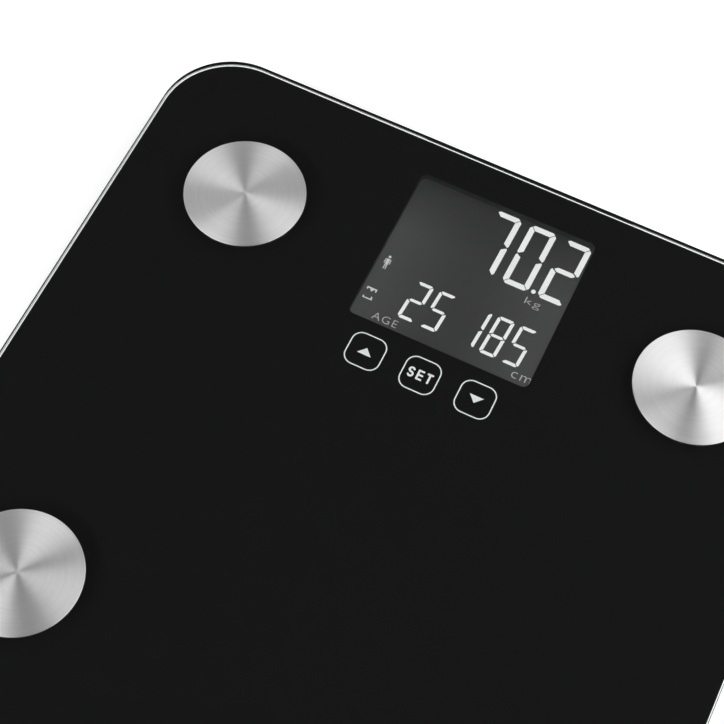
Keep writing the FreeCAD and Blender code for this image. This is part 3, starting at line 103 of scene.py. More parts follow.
# LCD artwork, on the top polariser. Each digit comes with the X of its middle
ARTWORK_BOTTOM_Z = 15.26
ARTWORK_THICKNESS = 0.03
DIGIT_SEGMENTS = {"0": "abcdef", "1": "bc", "2": "abdeg", "5": "acdfg", "7": "abc", "8": "abcdefg"}
WEIGHT_DIGITS = (("7", 1.02), ("0", 16.44), ("2", 31.90))
WEIGHT_BASE_Y = 104.2
WEIGHT_SIZE = (11.5, 30.0)
WEIGHT_STROKE = 2.35
WEIGHT_SLANT = 1.3
SMALL_DIGITS = (("2", -16.35), ("5", -6.5), ("1", 9.4), ("8", 19.05), ("5", 28.75))
SMALL_BASE_Y = 71.0
SMALL_SIZE = (7.2, 18.4)
SMALL_STROKE = 1.4
SMALL_SLANT = 3.6
POINT_CENTRE = (23.95, 105.55)
POINT_RADIUS = 0.95
POINT_STEPS = 40
SEGMENT_GAP = 0.2
# Cuts at the ends of a segment, as shares of its stroke
SEGMENT_BLUNT = 0.18
SEGMENT_CLIP = 0.3
SEGMENT_POINT = 0.45
SEGMENT_NOSE = 0.55
SEGMENT_CORNER = 0.66
# Name, text, and the left, right, bottom and top of the box that the text fills
LABELS = (
    ("unit_kg", "kg", 22.5, 29.1, 98.2, 102.3),
    ("label_age", "AGE", -29.2, -18.5, 65.7, 69.0),
    ("unit_cm", "cm", 30.7, 39.0, 66.4, 69.2),
)
LABEL_LETTER_SPACING = 1.15
LABEL_STROKE_OFFSET = -0.012
PERSON_ICON_PLACE = (-34.25, 88.0)
PERSON_HEAD_RADIUS = 0.6
PERSON_HEAD_STEPS = 24
PERSON_HEAD_Y = 6.3
SCALE_ICON_PLACE = (-34.4, 75.5)

# Glow of the LCD's artwork: name of the material, darkest and brightest colour
GLOWS = {
    "bright": ("lit_segments", (0.86, 0.85, 0.855), (0.94, 0.93, 0.935)),
    "half": ("lit_icons", (0.54, 0.535, 0.535), (0.62, 0.615, 0.615)),
    "dim": ("lit_labels", (0.36, 0.355, 0.355), (0.44, 0.435, 0.435)),
}
# Glow of the LCD's ground, which changes over these metres of X and of Y
LCD_DARKEST = 0.0205
LCD_LIGHTEST = 0.055
LCD_MIDDLE_SHARE = 0.37
LCD_SIDES_METRES = (0.006, 0.036)
LCD_FRONT_METRES = (0.108, 0.134)

# Edge rounds on moulded CAD nodes, by the start of the node's name
EDGE_ROUNDS = {
    "display_housing": 0.25,
    "rear_cover": 0.2,
    "battery_door": 0.2,
    "unit_button": 0.2,
    "foot_housing": 0.3,
    "foot_retainer": 0.2,
    "foot_cap": 0.3,
    "foot_pad": 0.3,
    "wire_ducts": 0.3,
}

# Camera, from the front right and high up. Angles are in degrees
CAMERA_AZIMUTH = 21.56
CAMERA_ELEVATION = 62.836
CAMERA_ROLL = 4.426
CAMERA_AIM = (-22.633, 43.083, 24.0)
CAMERA_DISTANCE = 741.878
CAMERA_LENS = 95.155
CAMERA_SENSOR = 36.0
CAMERA_CLIP_START_METRES = 0.01

# Lamps: name, azimuth and elevation in degrees, distance and size in metres, watts
SOFTBOXES = (
    ("right_softbox", 16, 48, 0.75, (1.05, 0.44), 4.8),
    ("left_strip", 155, 45, 1.12, (1.36, 0.20), 1.9),
    ("front_strip", -119, 38, 1.51, (1.5, 0.2), 16.2),
)
WALL_LIGHT = 0.50
CEILING_LIGHT = 0.09
WALL_TO_CEILING = (0.10, 0.40)
FLOOR_RADIUS = 6000.0
FLOOR_DEPTH = 10.0
FLOOR_STEPS = 64
FLOOR_GLOW = 0.45

# Socket numbers of the Mix node for colours
MIX_FIRST = 6
MIX_SECOND = 7
MIX_RESULT = 2


def mm(*values):
    return Vector(values) * MM


def grey(level):
    return level, level, level


# --- mesh helpers -------------------------------------------------------------------------


def mesh_object(name, points, faces, smooth_angle=None):
    """Object from points in millimetres and faces, with its doubles merged."""
    mesh = bpy.data.meshes.new(name)
    mesh.from_pydata([mm(*p) for p in points], [], faces)
    mesh.validate()
    mesh.update()
    tidy = bmesh.new()
    tidy.from_mesh(mesh)
    bmesh.ops.remove_doubles(tidy, verts=tidy.verts, dist=MERGE_DISTANCE_METRES)
    bmesh.ops.recalc_face_normals(tidy, faces=tidy.faces)
    tidy.to_mesh(mesh)
    tidy.free()
    if smooth_angle is not None:
        mesh.shade_smooth()
        mesh.set_sharp_from_angle(angle=math.radians(smooth_angle))
    piece = bpy.data.objects.new(name, mesh)
    bpy.context.scene.collection.objects.link(piece)
    return piece


def rounded_square(half, radius, steps):
    """Outline of a square with round corners, counter-clockwise."""
    points = []
    for quarter, (sx, sy) in enumerate(((1, 1), (-1, 1), (-1, -1), (1, -1))):
        centre_x = sx * (half - radius)
        centre_y = sy * (half - radius)
        for step in range(steps + 1):
            angle = math.radians(90 * (quarter + step / steps))
            points.append((centre_x + radius * math.cos(angle), centre_y + radius * math.sin(angle)))
    return points


def circle(radius, steps, x=0.0, y=0.0):
    turns = [2 * math.pi * step / steps for step in range(steps)]
    return [(x + radius * math.cos(turn), y + radius * math.sin(turn)) for turn in turns]


def weighted(piece):
    piece.modifiers.new("normals", "WEIGHTED_NORMAL").keep_sharp = True


def prisms(name, outlines, z0, z1):
    """One object with a straight prism for each flat outline."""
    points = []
    faces = []
    for outline in outlines:
        first = len(points)
        count = len(outline)
        points += [(x, y, z0) for x, y in outline]
        points += [(x, y, z1) for x, y in outline]
        faces.append([first + i for i in reversed(range(count))])
        faces.append([first + count + i for i in range(count)])
        for i in range(count):
            j = (i + 1) % count
            faces.append([first + i, first + j, first + count + j, first + count + i])
    return mesh_object(name, points, faces)


# --- pieces -------------------------------------------------------------------------------


def glass_rim_profile():
    """(inset, height) from the bottom face round the edge to the top face."""
    profile = []
    for step in range(GLASS_ROUND_STEPS + 1):
        angle = math.radians(90 * step / GLASS_ROUND_STEPS)
        inset = GLASS_BOTTOM_ROUND * (1 - math.sin(angle))
        profile.append((inset, GLASS_BOTTOM_Z + GLASS_BOTTOM_ROUND * (1 - math.cos(angle))))
    for step in range(GLASS_ROUND_STEPS + 1):
        angle = math.radians(90 * step / GLASS_ROUND_STEPS)
        inset = GLASS_TOP_ROUND * (1 - math.cos(angle))
        profile.append((inset, GLASS_TOP_Z - GLASS_TOP_ROUND * (1 - math.sin(angle))))
    return profile


def disc_centre(corner):
    low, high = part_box("electrode_" + corner)
    centre = (low + high) / 2 / MM
    return centre.x, centre.y


def glass_plate():
    rings = []
    for inset, height in glass_rim_profile():
        outline = rounded_square(GLASS_HALF_SIDE - inset, GLASS_CORNER_RADIUS - inset, GLASS_CORNER_STEPS)
        rings.append([(x, y, height) for x, y in outline])
    count = len(rings[0])
    points = [point for ring in rings for point in ring]
    faces = []
    for lower in range(len(rings) - 1):
        for i in range(count):
            j = (i + 1) % count
            start, above = lower * count, (lower + 1) * count
            faces.append([start + i, start + j, above + j, above + i])
    holes = [circle(GLASS_HOLE_RADIUS, GLASS_HOLE_STEPS, *disc_centre(corner)) for corner in CORNERS]
    for ring, level in ((rings[0], GLASS_BOTTOM_Z), (rings[-1], GLASS_TOP_Z)):
        loops = [[Vector((x, y, level)) for x, y, _ in ring]]
        loops += [[Vector((x, y, level)) for x, y in reversed(hole)] for hole in holes]
        first = len(points)
        points += [tuple(p) for loop in loops for p in loop]
        faces += [[first + i for i in triangle] for triangle in tessellate_polygon(loops)]
    for hole in holes:
        first = len(points)
        steps = len(hole)
        points += [(x, y, GLASS_BOTTOM_Z) for x, y in hole] + [(x, y, GLASS_TOP_Z) for x, y in hole]
        for i in range(steps):
            j = (i + 1) % steps
            faces.append([first + i, first + j, first + steps + j, first + steps + i])
    piece = mesh_object("glass_plate", points, faces, smooth_angle=40)
    weighted(piece)
    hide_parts("glass_platform")
    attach(piece, PLATFORM)
    return piece


def disc_profile():
    """(radius, height) from the middle of the crown, over the rim, to the end of the stud."""
    rim_start = DISC_RADIUS - DISC_RIM_ROUND
    profile = [(radius, DISC_TOP_Z) for radius in (*DISC_FLAT_RINGS, DISC_CROWN_START)]
    for step in range(1, DISC_CROWN_STEPS + 1):
        share = step / DISC_CROWN_STEPS
        radius = DISC_CROWN_START + share * (rim_start - DISC_CROWN_START)
        profile.append((radius, DISC_TOP_Z - DISC_CROWN_DROP * share**2))
    rim_centre_z = DISC_TOP_Z - DISC_CROWN_DROP - DISC_RIM_ROUND
    for step in range(1, DISC_ROUND_STEPS + 1):
        angle = math.radians(90 * step / DISC_ROUND_STEPS)
        height = rim_centre_z + DISC_RIM_ROUND * math.cos(angle)
        profile.append((rim_start + DISC_RIM_ROUND * math.sin(angle), height))
    profile += [
        (DISC_RADIUS, DISC_BOTTOM_Z + DISC_BACK_CHAMFER),
        (DISC_RADIUS - DISC_BACK_CHAMFER, DISC_BOTTOM_Z),
        (STUD_RADIUS, DISC_BOTTOM_Z),
        (STUD_RADIUS, STUD_END_Z + STUD_CHAMFER),
        (STUD_RADIUS - STUD_CHAMFER, STUD_END_Z),
        (0.0, STUD_END_Z),
    ]
    return profile


def turned(name, profile, steps):
    """Solid of revolution about Z, with one point at each end of the profile."""
    points = [(0.0, 0.0, profile[0][1])]
    for radius, height in profile[1:-1]:
        points += [(x, y, height) for x, y in circle(radius, steps)]
    points.append((0.0, 0.0, profile[-1][1]))
    last_ring = 1 + (len(profile) - 3) * steps
    faces = []
    for i in range(steps):
        j = (i + 1) % steps
        faces.append([0, 1 + i, 1 + j])
        faces.append([last_ring + i, len(points) - 1, last_ring + j])
        for ring in range(len(profile) - 3):
            start = 1 + ring * steps
            faces.append([start + i, start + steps + i, start + steps + j, start + j])
    return mesh_object(name, points, faces, smooth_angle=35)


def electrode(corner):
    piece = turned("spun_disc_" + corner, disc_profile(), DISC_TURN_STEPS)
    x, y = disc_centre(corner)
    piece.location = mm(x, y, 0)
    weighted(piece)
    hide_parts("electrode_" + corner)
    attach(piece, PLATFORM)
    return piece


def across(outline, width):
    """Outline seen in a mirror across its digit's upright middle line."""
    return [(width - x, y) for x, y in outline]


def upside_down(outline, height):
    return [(x, height - y) for x, y in outline]


def segment_shapes(width, height, stroke):
    """Outlines of the seven segments of an upright digit, with mitred ends and small gaps."""
    half = height / 2
    gap = SEGMENT_GAP
    blunt = stroke * SEGMENT_BLUNT
    clip = stroke * SEGMENT_CLIP
    corner = stroke * SEGMENT_CORNER
    nose = stroke * SEGMENT_NOSE
    point = stroke * SEGMENT_POINT
    inner = stroke + gap
    top = [
        (gap + clip, height - clip),
        (gap + corner, height),
        (width - gap - corner, height),
        (width - gap - clip, height - clip),
        (width - inner, height - stroke),
        (inner, height - stroke),
    ]
    upper_right = [
        (width - clip, height - gap - clip),
        (width, height - gap - corner),
        (width, half + gap + clip),
        (width - blunt, half + gap),
        (width - stroke, half + gap + nose),
        (width - stroke, height - inner),
    ]
    middle = [
        (point + gap, half),
        (inner, half + point),
        (width - inner, half + point),
        (width - point - gap, half),
        (width - inner, half - point),
        (inner, half - point),
    ]
    return {
        "a": top,
        "b": upper_right,
        "c": upside_down(upper_right, height),
        "d": upside_down(top, height),
        "e": upside_down(across(upper_right, width), height),
        "f": across(upper_right, width),
        "g": middle,
    }


def digit_outlines(digit, centre_x, base_y, size, stroke, slant):
    """Flat outlines of a digit's lit segments, leaning by slant degrees."""
    width, height = size
    shapes = segment_shapes(width, height, stroke)
    lean = math.tan(math.radians(slant))
    outlines = []
    for letter in DIGIT_SEGMENTS[digit]:
        corners = []
        for x, y in shapes[letter]:
            corners.append((x - width / 2 + (y - height / 2) * lean + centre_x, y + base_y))
        outlines.append(corners)
    return outlines


def artwork_levels():
    return ARTWORK_BOTTOM_Z, ARTWORK_BOTTOM_Z + ARTWORK_THICKNESS


def lit_digits(name, digits, base_y, size, stroke, slant):
    outlines = []
    for digit, centre_x in digits:
        outlines += digit_outlines(digit, centre_x, base_y, size, stroke, slant)
    return prisms(name, outlines, *artwork_levels())


def lit_label(name, text, x0, x1, y0, y1):
    """Text as a thin mesh, stretched to fill the box."""
    curve = bpy.data.curves.new(name, "FONT")
    curve.body = text
    curve.extrude = ARTWORK_THICKNESS / 2
    curve.space_character = LABEL_LETTER_SPACING
    curve.offset = LABEL_STROKE_OFFSET
    source = bpy.data.objects.new(name + "_source", curve)
    bpy.context.scene.collection.objects.link(source)
    bpy.context.view_layer.update()
    evaluated = source.evaluated_get(bpy.context.evaluated_depsgraph_get())
    mesh = bpy.data.meshes.new_from_object(evaluated)
    bpy.data.objects.remove(source)
    bpy.data.curves.remove(curve)
    xs = [v.co.x for v in mesh.vertices]
    ys = [v.co.y for v in mesh.vertices]
    scale_x = (x1 - x0) / (max(xs) - min(xs))
    scale_y = (y1 - y0) / (max(ys) - min(ys))
    middle_z = sum(artwork_levels()) / 2
    for vertex in mesh.vertices:
        x = x0 + (vertex.co.x - min(xs)) * scale_x
        y = y0 + (vertex.co.y - min(ys)) * scale_y
        vertex.co = mm(x, y, middle_z + vertex.co.z)
    mesh.name = name
    piece = bpy.data.objects.new(name, mesh)
    bpy.context.scene.collection.objects.link(piece)
    return piece


def icon(name, outlines, place):
    x, y = place
    moved = [[(px + x, py + y) for px, py in outline] for outline in outlines]
    return prisms(name, moved, *artwork_levels())


def mirrored(outline):
    return [(-x, y) for x, y in reversed(outline)]


def person_icon():
    """Standing figure: a head, a body, two arms and two legs."""
    body = [(-0.6, 2.6), (0.6, 2.6), (0.7, 5.3), (-0.7, 5.3)]
    arm = [(-1.35, 2.9), (-0.95, 2.9), (-0.85, 5.3), (-1.2, 5.0)]
    leg = [(-0.62, 0.2), (-0.3, 0.2), (-0.1, 2.6), (-0.55, 2.6)]
    head = circle(PERSON_HEAD_RADIUS, PERSON_HEAD_STEPS, 0.0, PERSON_HEAD_Y)
    outlines = [head, body, arm, mirrored(arm), leg, mirrored(leg)]
    return icon("icon_person", outlines, PERSON_ICON_PLACE)


def scale_icon():
    """Two brackets that face each other, and an arrow head between them."""
    upper = [(-2.15, 1.5), (-2.15, 2.75), (2.15, 2.75), (2.15, 1.3)]
    upper += [(1.6, 1.3), (1.6, 2.15), (-1.6, 2.15), (-1.6, 1.5)]
    lower = [(-2.1, -1.7), (-1.6, -1.7), (-1.6, -2.2), (1.2, -2.2)]
    lower += [(1.2, -1.1), (1.7, -1.1), (2.1, -2.7), (-2.1, -2.7)]
    arrow = [(1.0, 2.15), (-0.8, 2.15), (0.1, 0.9)]
    return icon("icon_scale", [upper, lower, arrow], SCALE_ICON_PLACE)


def lcd_artwork():
    weight = (WEIGHT_DIGITS, WEIGHT_BASE_Y, WEIGHT_SIZE, WEIGHT_STROKE, WEIGHT_SLANT)
    small = (SMALL_DIGITS, SMALL_BASE_Y, SMALL_SIZE, SMALL_STROKE, SMALL_SLANT)
    point = circle(POINT_RADIUS, POINT_STEPS, *POINT_CENTRE)
    artwork = {
        "bright": [
            lit_digits("weight_digits", *weight),
            lit_digits("small_digits", *small),
            prisms("decimal_point", [point], *artwork_levels()),
        ],
        "half": [person_icon(), scale_icon()],
        "dim": [lit_label(*label) for label in LABELS],
    }
    for glow, pieces in artwork.items():
        material = lit(*GLOWS[glow])
        for piece in pieces:
            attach(piece, PLATFORM)
            coat(piece, material)


# --- material helpers ---------------------------------------------------------------------


def new_material(name):
    material = bpy.data.materials.new(name)
    material.use_nodes = True
    return material, material.node_tree, material.node_tree.nodes["Principled BSDF"]


def add(tree, kind, **settings):
    node = tree.nodes.new("ShaderNode" + kind)
    for key, value in settings.items():
        setattr(node, key, value)
    return node


def place_in_part(tree):
    """Coordinates fixed to the piece, in metres."""
    return add(tree, "TexCoord").outputs["Object"]


def stretched(tree, coordinates, scale):
    mapping = add(tree, "Mapping")
    mapping.inputs["Scale"].default_value = scale
    tree.links.new(coordinates, mapping.inputs["Vector"])
    return mapping.outputs["Vector"]


def noise(tree, coordinates, size, detail=3.0, roughness=0.55):
    """Noise whose features are about size metres across."""
    node = add(tree, "TexNoise")
    node.inputs["Scale"].default_value = 1.0 / size
    node.inputs["Detail"].default_value = detail
    node.inputs["Roughness"].default_value = roughness
    tree.links.new(coordinates, node.inputs["Vector"])
    return node.outputs["Fac"]


def between(tree, factor, low, high, source=(0.3, 0.7)):
    """A number that goes from low to high as factor goes over source."""
    node = add(tree, "MapRange")
    node.inputs["From Min"].default_value = source[0]
    node.inputs["From Max"].default_value = source[1]
    node.inputs["To Min"].default_value = low
    node.inputs["To Max"].default_value = high
    tree.links.new(factor, node.inputs["Value"])
    return node.outputs["Result"]


def colour_between(tree, factor, low, high, source=(0.3, 0.7)):
    node = add(tree, "ValToRGB")
    node.color_ramp.elements[0].position = source[0]
    node.color_ramp.elements[0].color = (*low, 1.0)
    node.color_ramp.elements[1].position = source[1]
    node.color_ramp.elements[1].color = (*high, 1.0)
    tree.links.new(factor, node.inputs["Fac"])
    return node.outputs["Color"]


def shaded(colour, factor):
    return tuple(min(1.0, channel * factor) for channel in colour)


def relief(tree, shader, height, depth, strength=1.0):
    node = add(tree, "Bump")
    node.inputs["Strength"].default_value = strength
    node.inputs["Distance"].default_value = depth
    tree.links.new(height, node.inputs["Height"])
    tree.links.new(node.outputs["Normal"], shader.inputs["Normal"])


def combined(tree, operation, first, second):
    """Two numbers as one, by a Math operation."""
    node = add(tree, "Math", operation=operation)
    tree.links.new(first, node.inputs[0])
    tree.links.new(second, node.inputs[1])
    return node.outputs[0]


def finish(
    name, colour, roughness, metal=0.0, spread=0.12, patch=0.015, grain=0.0004, depth=0.00001, **sockets
):
    """Finish with slow colour drift, uneven gloss and a fine relief.

    roughness is (lowest, highest). spread is the share by which the colour drifts.
    patch and grain are the sizes of features, and depth is the relief's, in metres.
    """
    material, tree, shader = new_material(name)
    place = place_in_part(tree)
    tint = noise(tree, place, patch, detail=4.0)
    drift = colour_between(tree, tint, shaded(colour, 1 - spread), shaded(colour, 1 + spread))
    tree.links.new(drift, shader.inputs["Base Color"])
    gloss = noise(tree, place, patch * 0.4, detail=5.0)
    tree.links.new(between(tree, gloss, *roughness), shader.inputs["Roughness"])
    relief(tree, shader, noise(tree, place, grain, detail=2.0), depth)
    shader.inputs["Metallic"].default_value = metal
    for socket, value in sockets.items():
        shader.inputs[socket.replace("_", " ")].default_value = value
    return material


def drawn_metal(name, colour, roughness, along, length=0.006, width=0.00006):
    """Metal with fine drawing lines along one axis, length by width metres in size."""
    material, tree, shader = new_material(name)
    place = place_in_part(tree)
    scale = [1 / width] * 3
    scale["XYZ".index(along)] = 1 / length
    lines = noise(tree, stretched(tree, place, scale), 1.0, detail=2.0)
    tone = colour_between(tree, lines, shaded(colour, 0.86), shaded(colour, 1.1))
    tree.links.new(tone, shader.inputs["Base Color"])
    tree.links.new(between(tree, lines, *roughness), shader.inputs["Roughness"])
    relief(tree, shader, lines, 0.000004)
    shader.inputs["Metallic"].default_value = 1.0
    return material


def moulded(name, colour, roughness=(0.42, 0.56), grain=0.00035, depth=0.00002):
    """Spark-eroded mould texture on black or grey plastic, with paler scuffs."""
    material, tree, shader = new_material(name)
    place = place_in_part(tree)
    cells = add(tree, "TexVoronoi", feature="SMOOTH_F1")
    cells.inputs["Scale"].default_value = 1.0 / grain
    cells.inputs["Smoothness"].default_value = 0.6
    tree.links.new(place, cells.inputs["Vector"])
    scuffs = noise(tree, stretched(tree, place, (1.0, 0.35, 1.0)), 0.006, detail=8.0, roughness=0.7)
    worn = colour_between(tree, scuffs, colour, shaded(colour, 1.7), source=(0.55, 0.85))
    tree.links.new(worn, shader.inputs["Base Color"])
    tree.links.new(between(tree, scuffs, roughness[1], roughness[0]), shader.inputs["Roughness"])
    relief(tree, shader, cells.outputs["Distance"], depth, strength=0.6)
    return material


def let_light_through(tree, shader, tint):
    """Lamps reach what lies behind the glass, for shadow rays and diffuse light."""
    path = add(tree, "LightPath")
    either = combined(tree, "MAXIMUM", path.outputs["Is Shadow Ray"], path.outputs["Is Diffuse Ray"])
    clear = add(tree, "BsdfTransparent")
    clear.inputs["Color"].default_value = (*tint, 1.0)
    mix = add(tree, "MixShader")
    tree.links.new(either, mix.inputs["Fac"])
    tree.links.new(shader.outputs["BSDF"], mix.inputs[1])
    tree.links.new(clear.outputs["BSDF"], mix.inputs[2])
    tree.links.new(mix.outputs["Shader"], tree.nodes["Material Output"].inputs["Surface"])


# --- materials ----------------------------------------------------------------------------


def platform_glass():
    """Clear plate with faint smudges, which turns green with depth."""
    material, tree, shader = new_material("platform_glass")
    place = place_in_part(tree)
    smudges = noise(tree, place, 0.03, detail=6.0, roughness=0.65)
    tree.links.new(between(tree, smudges, 0.0, 0.025, source=(0.45, 0.8)), shader.inputs["Roughness"])
    tint = colour_between(tree, smudges, *GLASS_TINTS)
    tree.links.new(tint, shader.inputs["Base Color"])
    shader.inputs["Transmission Weight"].default_value = 1.0
    shader.inputs["IOR"].default_value = GLASS_IOR
    let_light_through(tree, shader, GLASS_SHADOW_TINT)
    green = add(tree, "VolumeAbsorption")
    green.inputs["Color"].default_value = GLASS_DEPTH_COLOUR
    green.inputs["Density"].default_value = GLASS_DEPTH_DENSITY
    tree.links.new(green.outputs["Volume"], tree.nodes["Material Output"].inputs["Volume"])
    return material


def black_print():
    """Matt screen ink, with painted shade: its face under the glass is darker than its back."""
    material, tree, shader = new_material("black_print")
    facing = add(tree, "SeparateXYZ")
    tree.links.new(add(tree, "NewGeometry").outputs["Normal"], facing.inputs["Vector"])
    mottle = noise(tree, place_in_part(tree), 0.004, detail=6.0)
    # Painted shade: the face under the glass gets a darker copy of the ink colour than the back.
    front = colour_between(tree, mottle, grey(0.0048), grey(0.0060))
    back = colour_between(tree, mottle, (0.014, 0.014, 0.015), (0.018, 0.018, 0.019))
    mix = add(tree, "Mix", data_type="RGBA")
    from_below = between(tree, facing.outputs["Z"], 1.0, 0.0, source=(-0.5, 0.5))
    tree.links.new(from_below, mix.inputs["Factor"])
    tree.links.new(front, mix.inputs[MIX_FIRST])
    tree.links.new(back, mix.inputs[MIX_SECOND])
    tree.links.new(mix.outputs[MIX_RESULT], shader.inputs["Base Color"])
    tree.links.new(between(tree, mottle, 0.55, 0.75), shader.inputs["Roughness"])
    shader.inputs["Specular IOR Level"].default_value = 0.0
    return material


def place_on_disc(tree):
    """Direction from the middle in X and Y with the distance in Z, and that distance alone."""
    place = place_in_part(tree)
    flat = add(tree, "VectorMath", operation="MULTIPLY")
    flat.inputs[1].default_value = (1.0, 1.0, 0.0)
    tree.links.new(place, flat.inputs[0])
    length = add(tree, "VectorMath", operation="LENGTH")
    tree.links.new(flat.outputs["Vector"], length.inputs[0])
    unit = add(tree, "VectorMath", operation="NORMALIZE")
    tree.links.new(flat.outputs["Vector"], unit.inputs[0])
    parts = add(tree, "SeparateXYZ")
    tree.links.new(unit.outputs["Vector"], parts.inputs["Vector"])
    polar = add(tree, "CombineXYZ")
    tree.links.new(parts.outputs["X"], polar.inputs["X"])
    tree.links.new(parts.outputs["Y"], polar.inputs["Y"])
    tree.links.new(length.outputs["Value"], polar.inputs["Z"])
    return polar.outputs["Vector"], length.outputs["Value"]


def spun_steel():
    """Stainless steel turned on a lathe: rings of fine grooves round the middle of the disc."""
    material, tree, shader = new_material("spun_steel")
    place, distance = place_on_disc(tree)
    fine = noise(tree, stretched(tree, place, FINE_GROOVES), 1.0, detail=3.0, roughness=0.7)
    broad = noise(tree, stretched(tree, place, BROAD_GROOVES), 1.0, detail=2.0)
    grooves = combined(tree, "ADD", between(tree, fine, 0.0, 0.65), between(tree, broad, 0.0, 0.35))
    tone = colour_between(tree, grooves, grey(0.77), (0.89, 0.89, 0.885), source=(0.0, 1.0))
    tree.links.new(tone, shader.inputs["Base Color"])
    uneven = between(tree, grooves, 0.0, 0.06, source=(0.0, 1.0))
    duller = between(tree, distance, *STEEL_ROUGHNESS, source=STEEL_ROUGHNESS_RADII_METRES)
    tree.links.new(combined(tree, "ADD", uneven, duller), shader.inputs["Roughness"])
    relief(tree, shader, grooves, 0.0000015)
    tangent = add(tree, "Tangent", direction_type="RADIAL", axis="Z")
    tree.links.new(tangent.outputs["Tangent"], shader.inputs["Tangent"])
    shader.inputs["Metallic"].default_value = 1.0
    shader.inputs["Anisotropic"].default_value = STEEL_ANISOTROPY
    shader.inputs["Anisotropic Rotation"].default_value = 0.25
    return material


def lcd_ground():
    """Dark polariser with the backlight just showing through, least at the back and along the middle."""
    material, tree, shader = new_material("lcd_ground")
    place = place_in_part(tree)
    parts = add(tree, "SeparateXYZ")
    tree.links.new(place, parts.inputs["Vector"])
    from_middle = add(tree, "Math", operation="ABSOLUTE")
    tree.links.new(parts.outputs["X"], from_middle.inputs[0])
    sides = between(tree, from_middle.outputs[0], LCD_MIDDLE_SHARE, 1.0, source=LCD_SIDES_METRES)
    front = between(tree, parts.outputs["Y"], 1.0, 0.0, source=LCD_FRONT_METRES)
    light = combined(tree, "MULTIPLY", sides, front)
    glow = colour_between(tree, light, grey(LCD_DARKEST), grey(LCD_LIGHTEST), source=(0.0, 1.0))
    cloud = noise(tree, place, 0.02, detail=3.0)
    tree.links.new(glow, shader.inputs["Emission Color"])
    shader.inputs["Emission Strength"].default_value = 1.0
    base = colour_between(tree, cloud, grey(0.005), grey(0.007))
    tree.links.new(base, shader.inputs["Base Color"])
    tree.links.new(between(tree, cloud, 0.28, 0.34), shader.inputs["Roughness"])
    shader.inputs["Specular IOR Level"].default_value = 0.2
    return material


def lit(name, low, high):
    """Backlit artwork, with the slight unevenness of a light guide."""
    material, tree, shader = new_material(name)
    glow = colour_between(tree, noise(tree, place_in_part(tree), 0.008), low, high)
    tree.links.new(glow, shader.inputs["Emission Color"])
    shader.inputs["Base Color"].default_value = (0.02, 0.02, 0.02, 1.0)
    shader.inputs["Emission Strength"].default_value = 1.0
    shader.inputs["Roughness"].default_value = 0.5
    shader.inputs["Specular IOR Level"].default_value = 0.0
    return material


def circuit_board():
    """Green solder mask over a grid of paler tracks."""
    material, tree, shader = new_material("circuit_board")
    place = place_in_part(tree)
    tracks = add(tree, "TexBrick")
    tracks.inputs["Scale"].default_value = 180.0
    tracks.inputs["Mortar Size"].default_value = 0.06
    tracks.inputs["Color1"].default_value = (0.012, 0.11, 0.05, 1.0)
    tracks.inputs["Color2"].default_value = (0.015, 0.13, 0.06, 1.0)
    tracks.inputs["Mortar"].default_value = (0.03, 0.21, 0.10, 1.0)
    tree.links.new(place, tracks.inputs["Vector"])
    tree.links.new(tracks.outputs["Color"], shader.inputs["Base Color"])
    relief(tree, shader, tracks.outputs["Fac"], 0.00003)
    shader.inputs["Roughness"].default_value = 0.3
    return material


def cell_jacket():
    """Plain dark jacket with a copper band, no lettering."""
    material, tree, shader = new_material("cell_jacket")
    place = place_in_part(tree)
    parts = add(tree, "SeparateXYZ")
    tree.links.new(place, parts.inputs["Vector"])
    dark, copper = (0.03, 0.032, 0.036), (0.55, 0.25, 0.10)
    band = colour_between(tree, parts.outputs["X"], dark, copper, source=(0.0115, 0.012))
    tree.links.new(band, shader.inputs["Base Color"])
    tree.links.new(between(tree, noise(tree, place, 0.003), 0.2, 0.32), shader.inputs["Roughness"])
    shader.inputs["Metallic"].default_value = 0.5
    return material


def clear_part(name, colour, roughness):
    clear = {"Transmission_Weight": 0.85, "IOR": 1.49}
    return finish(name, colour, roughness, spread=0.02, depth=0.000002, **clear)


def foam(name, level, roughness, **sockets):
    return finish(name, grey(level), roughness, grain=0.0003, depth=0.00006, **sockets)


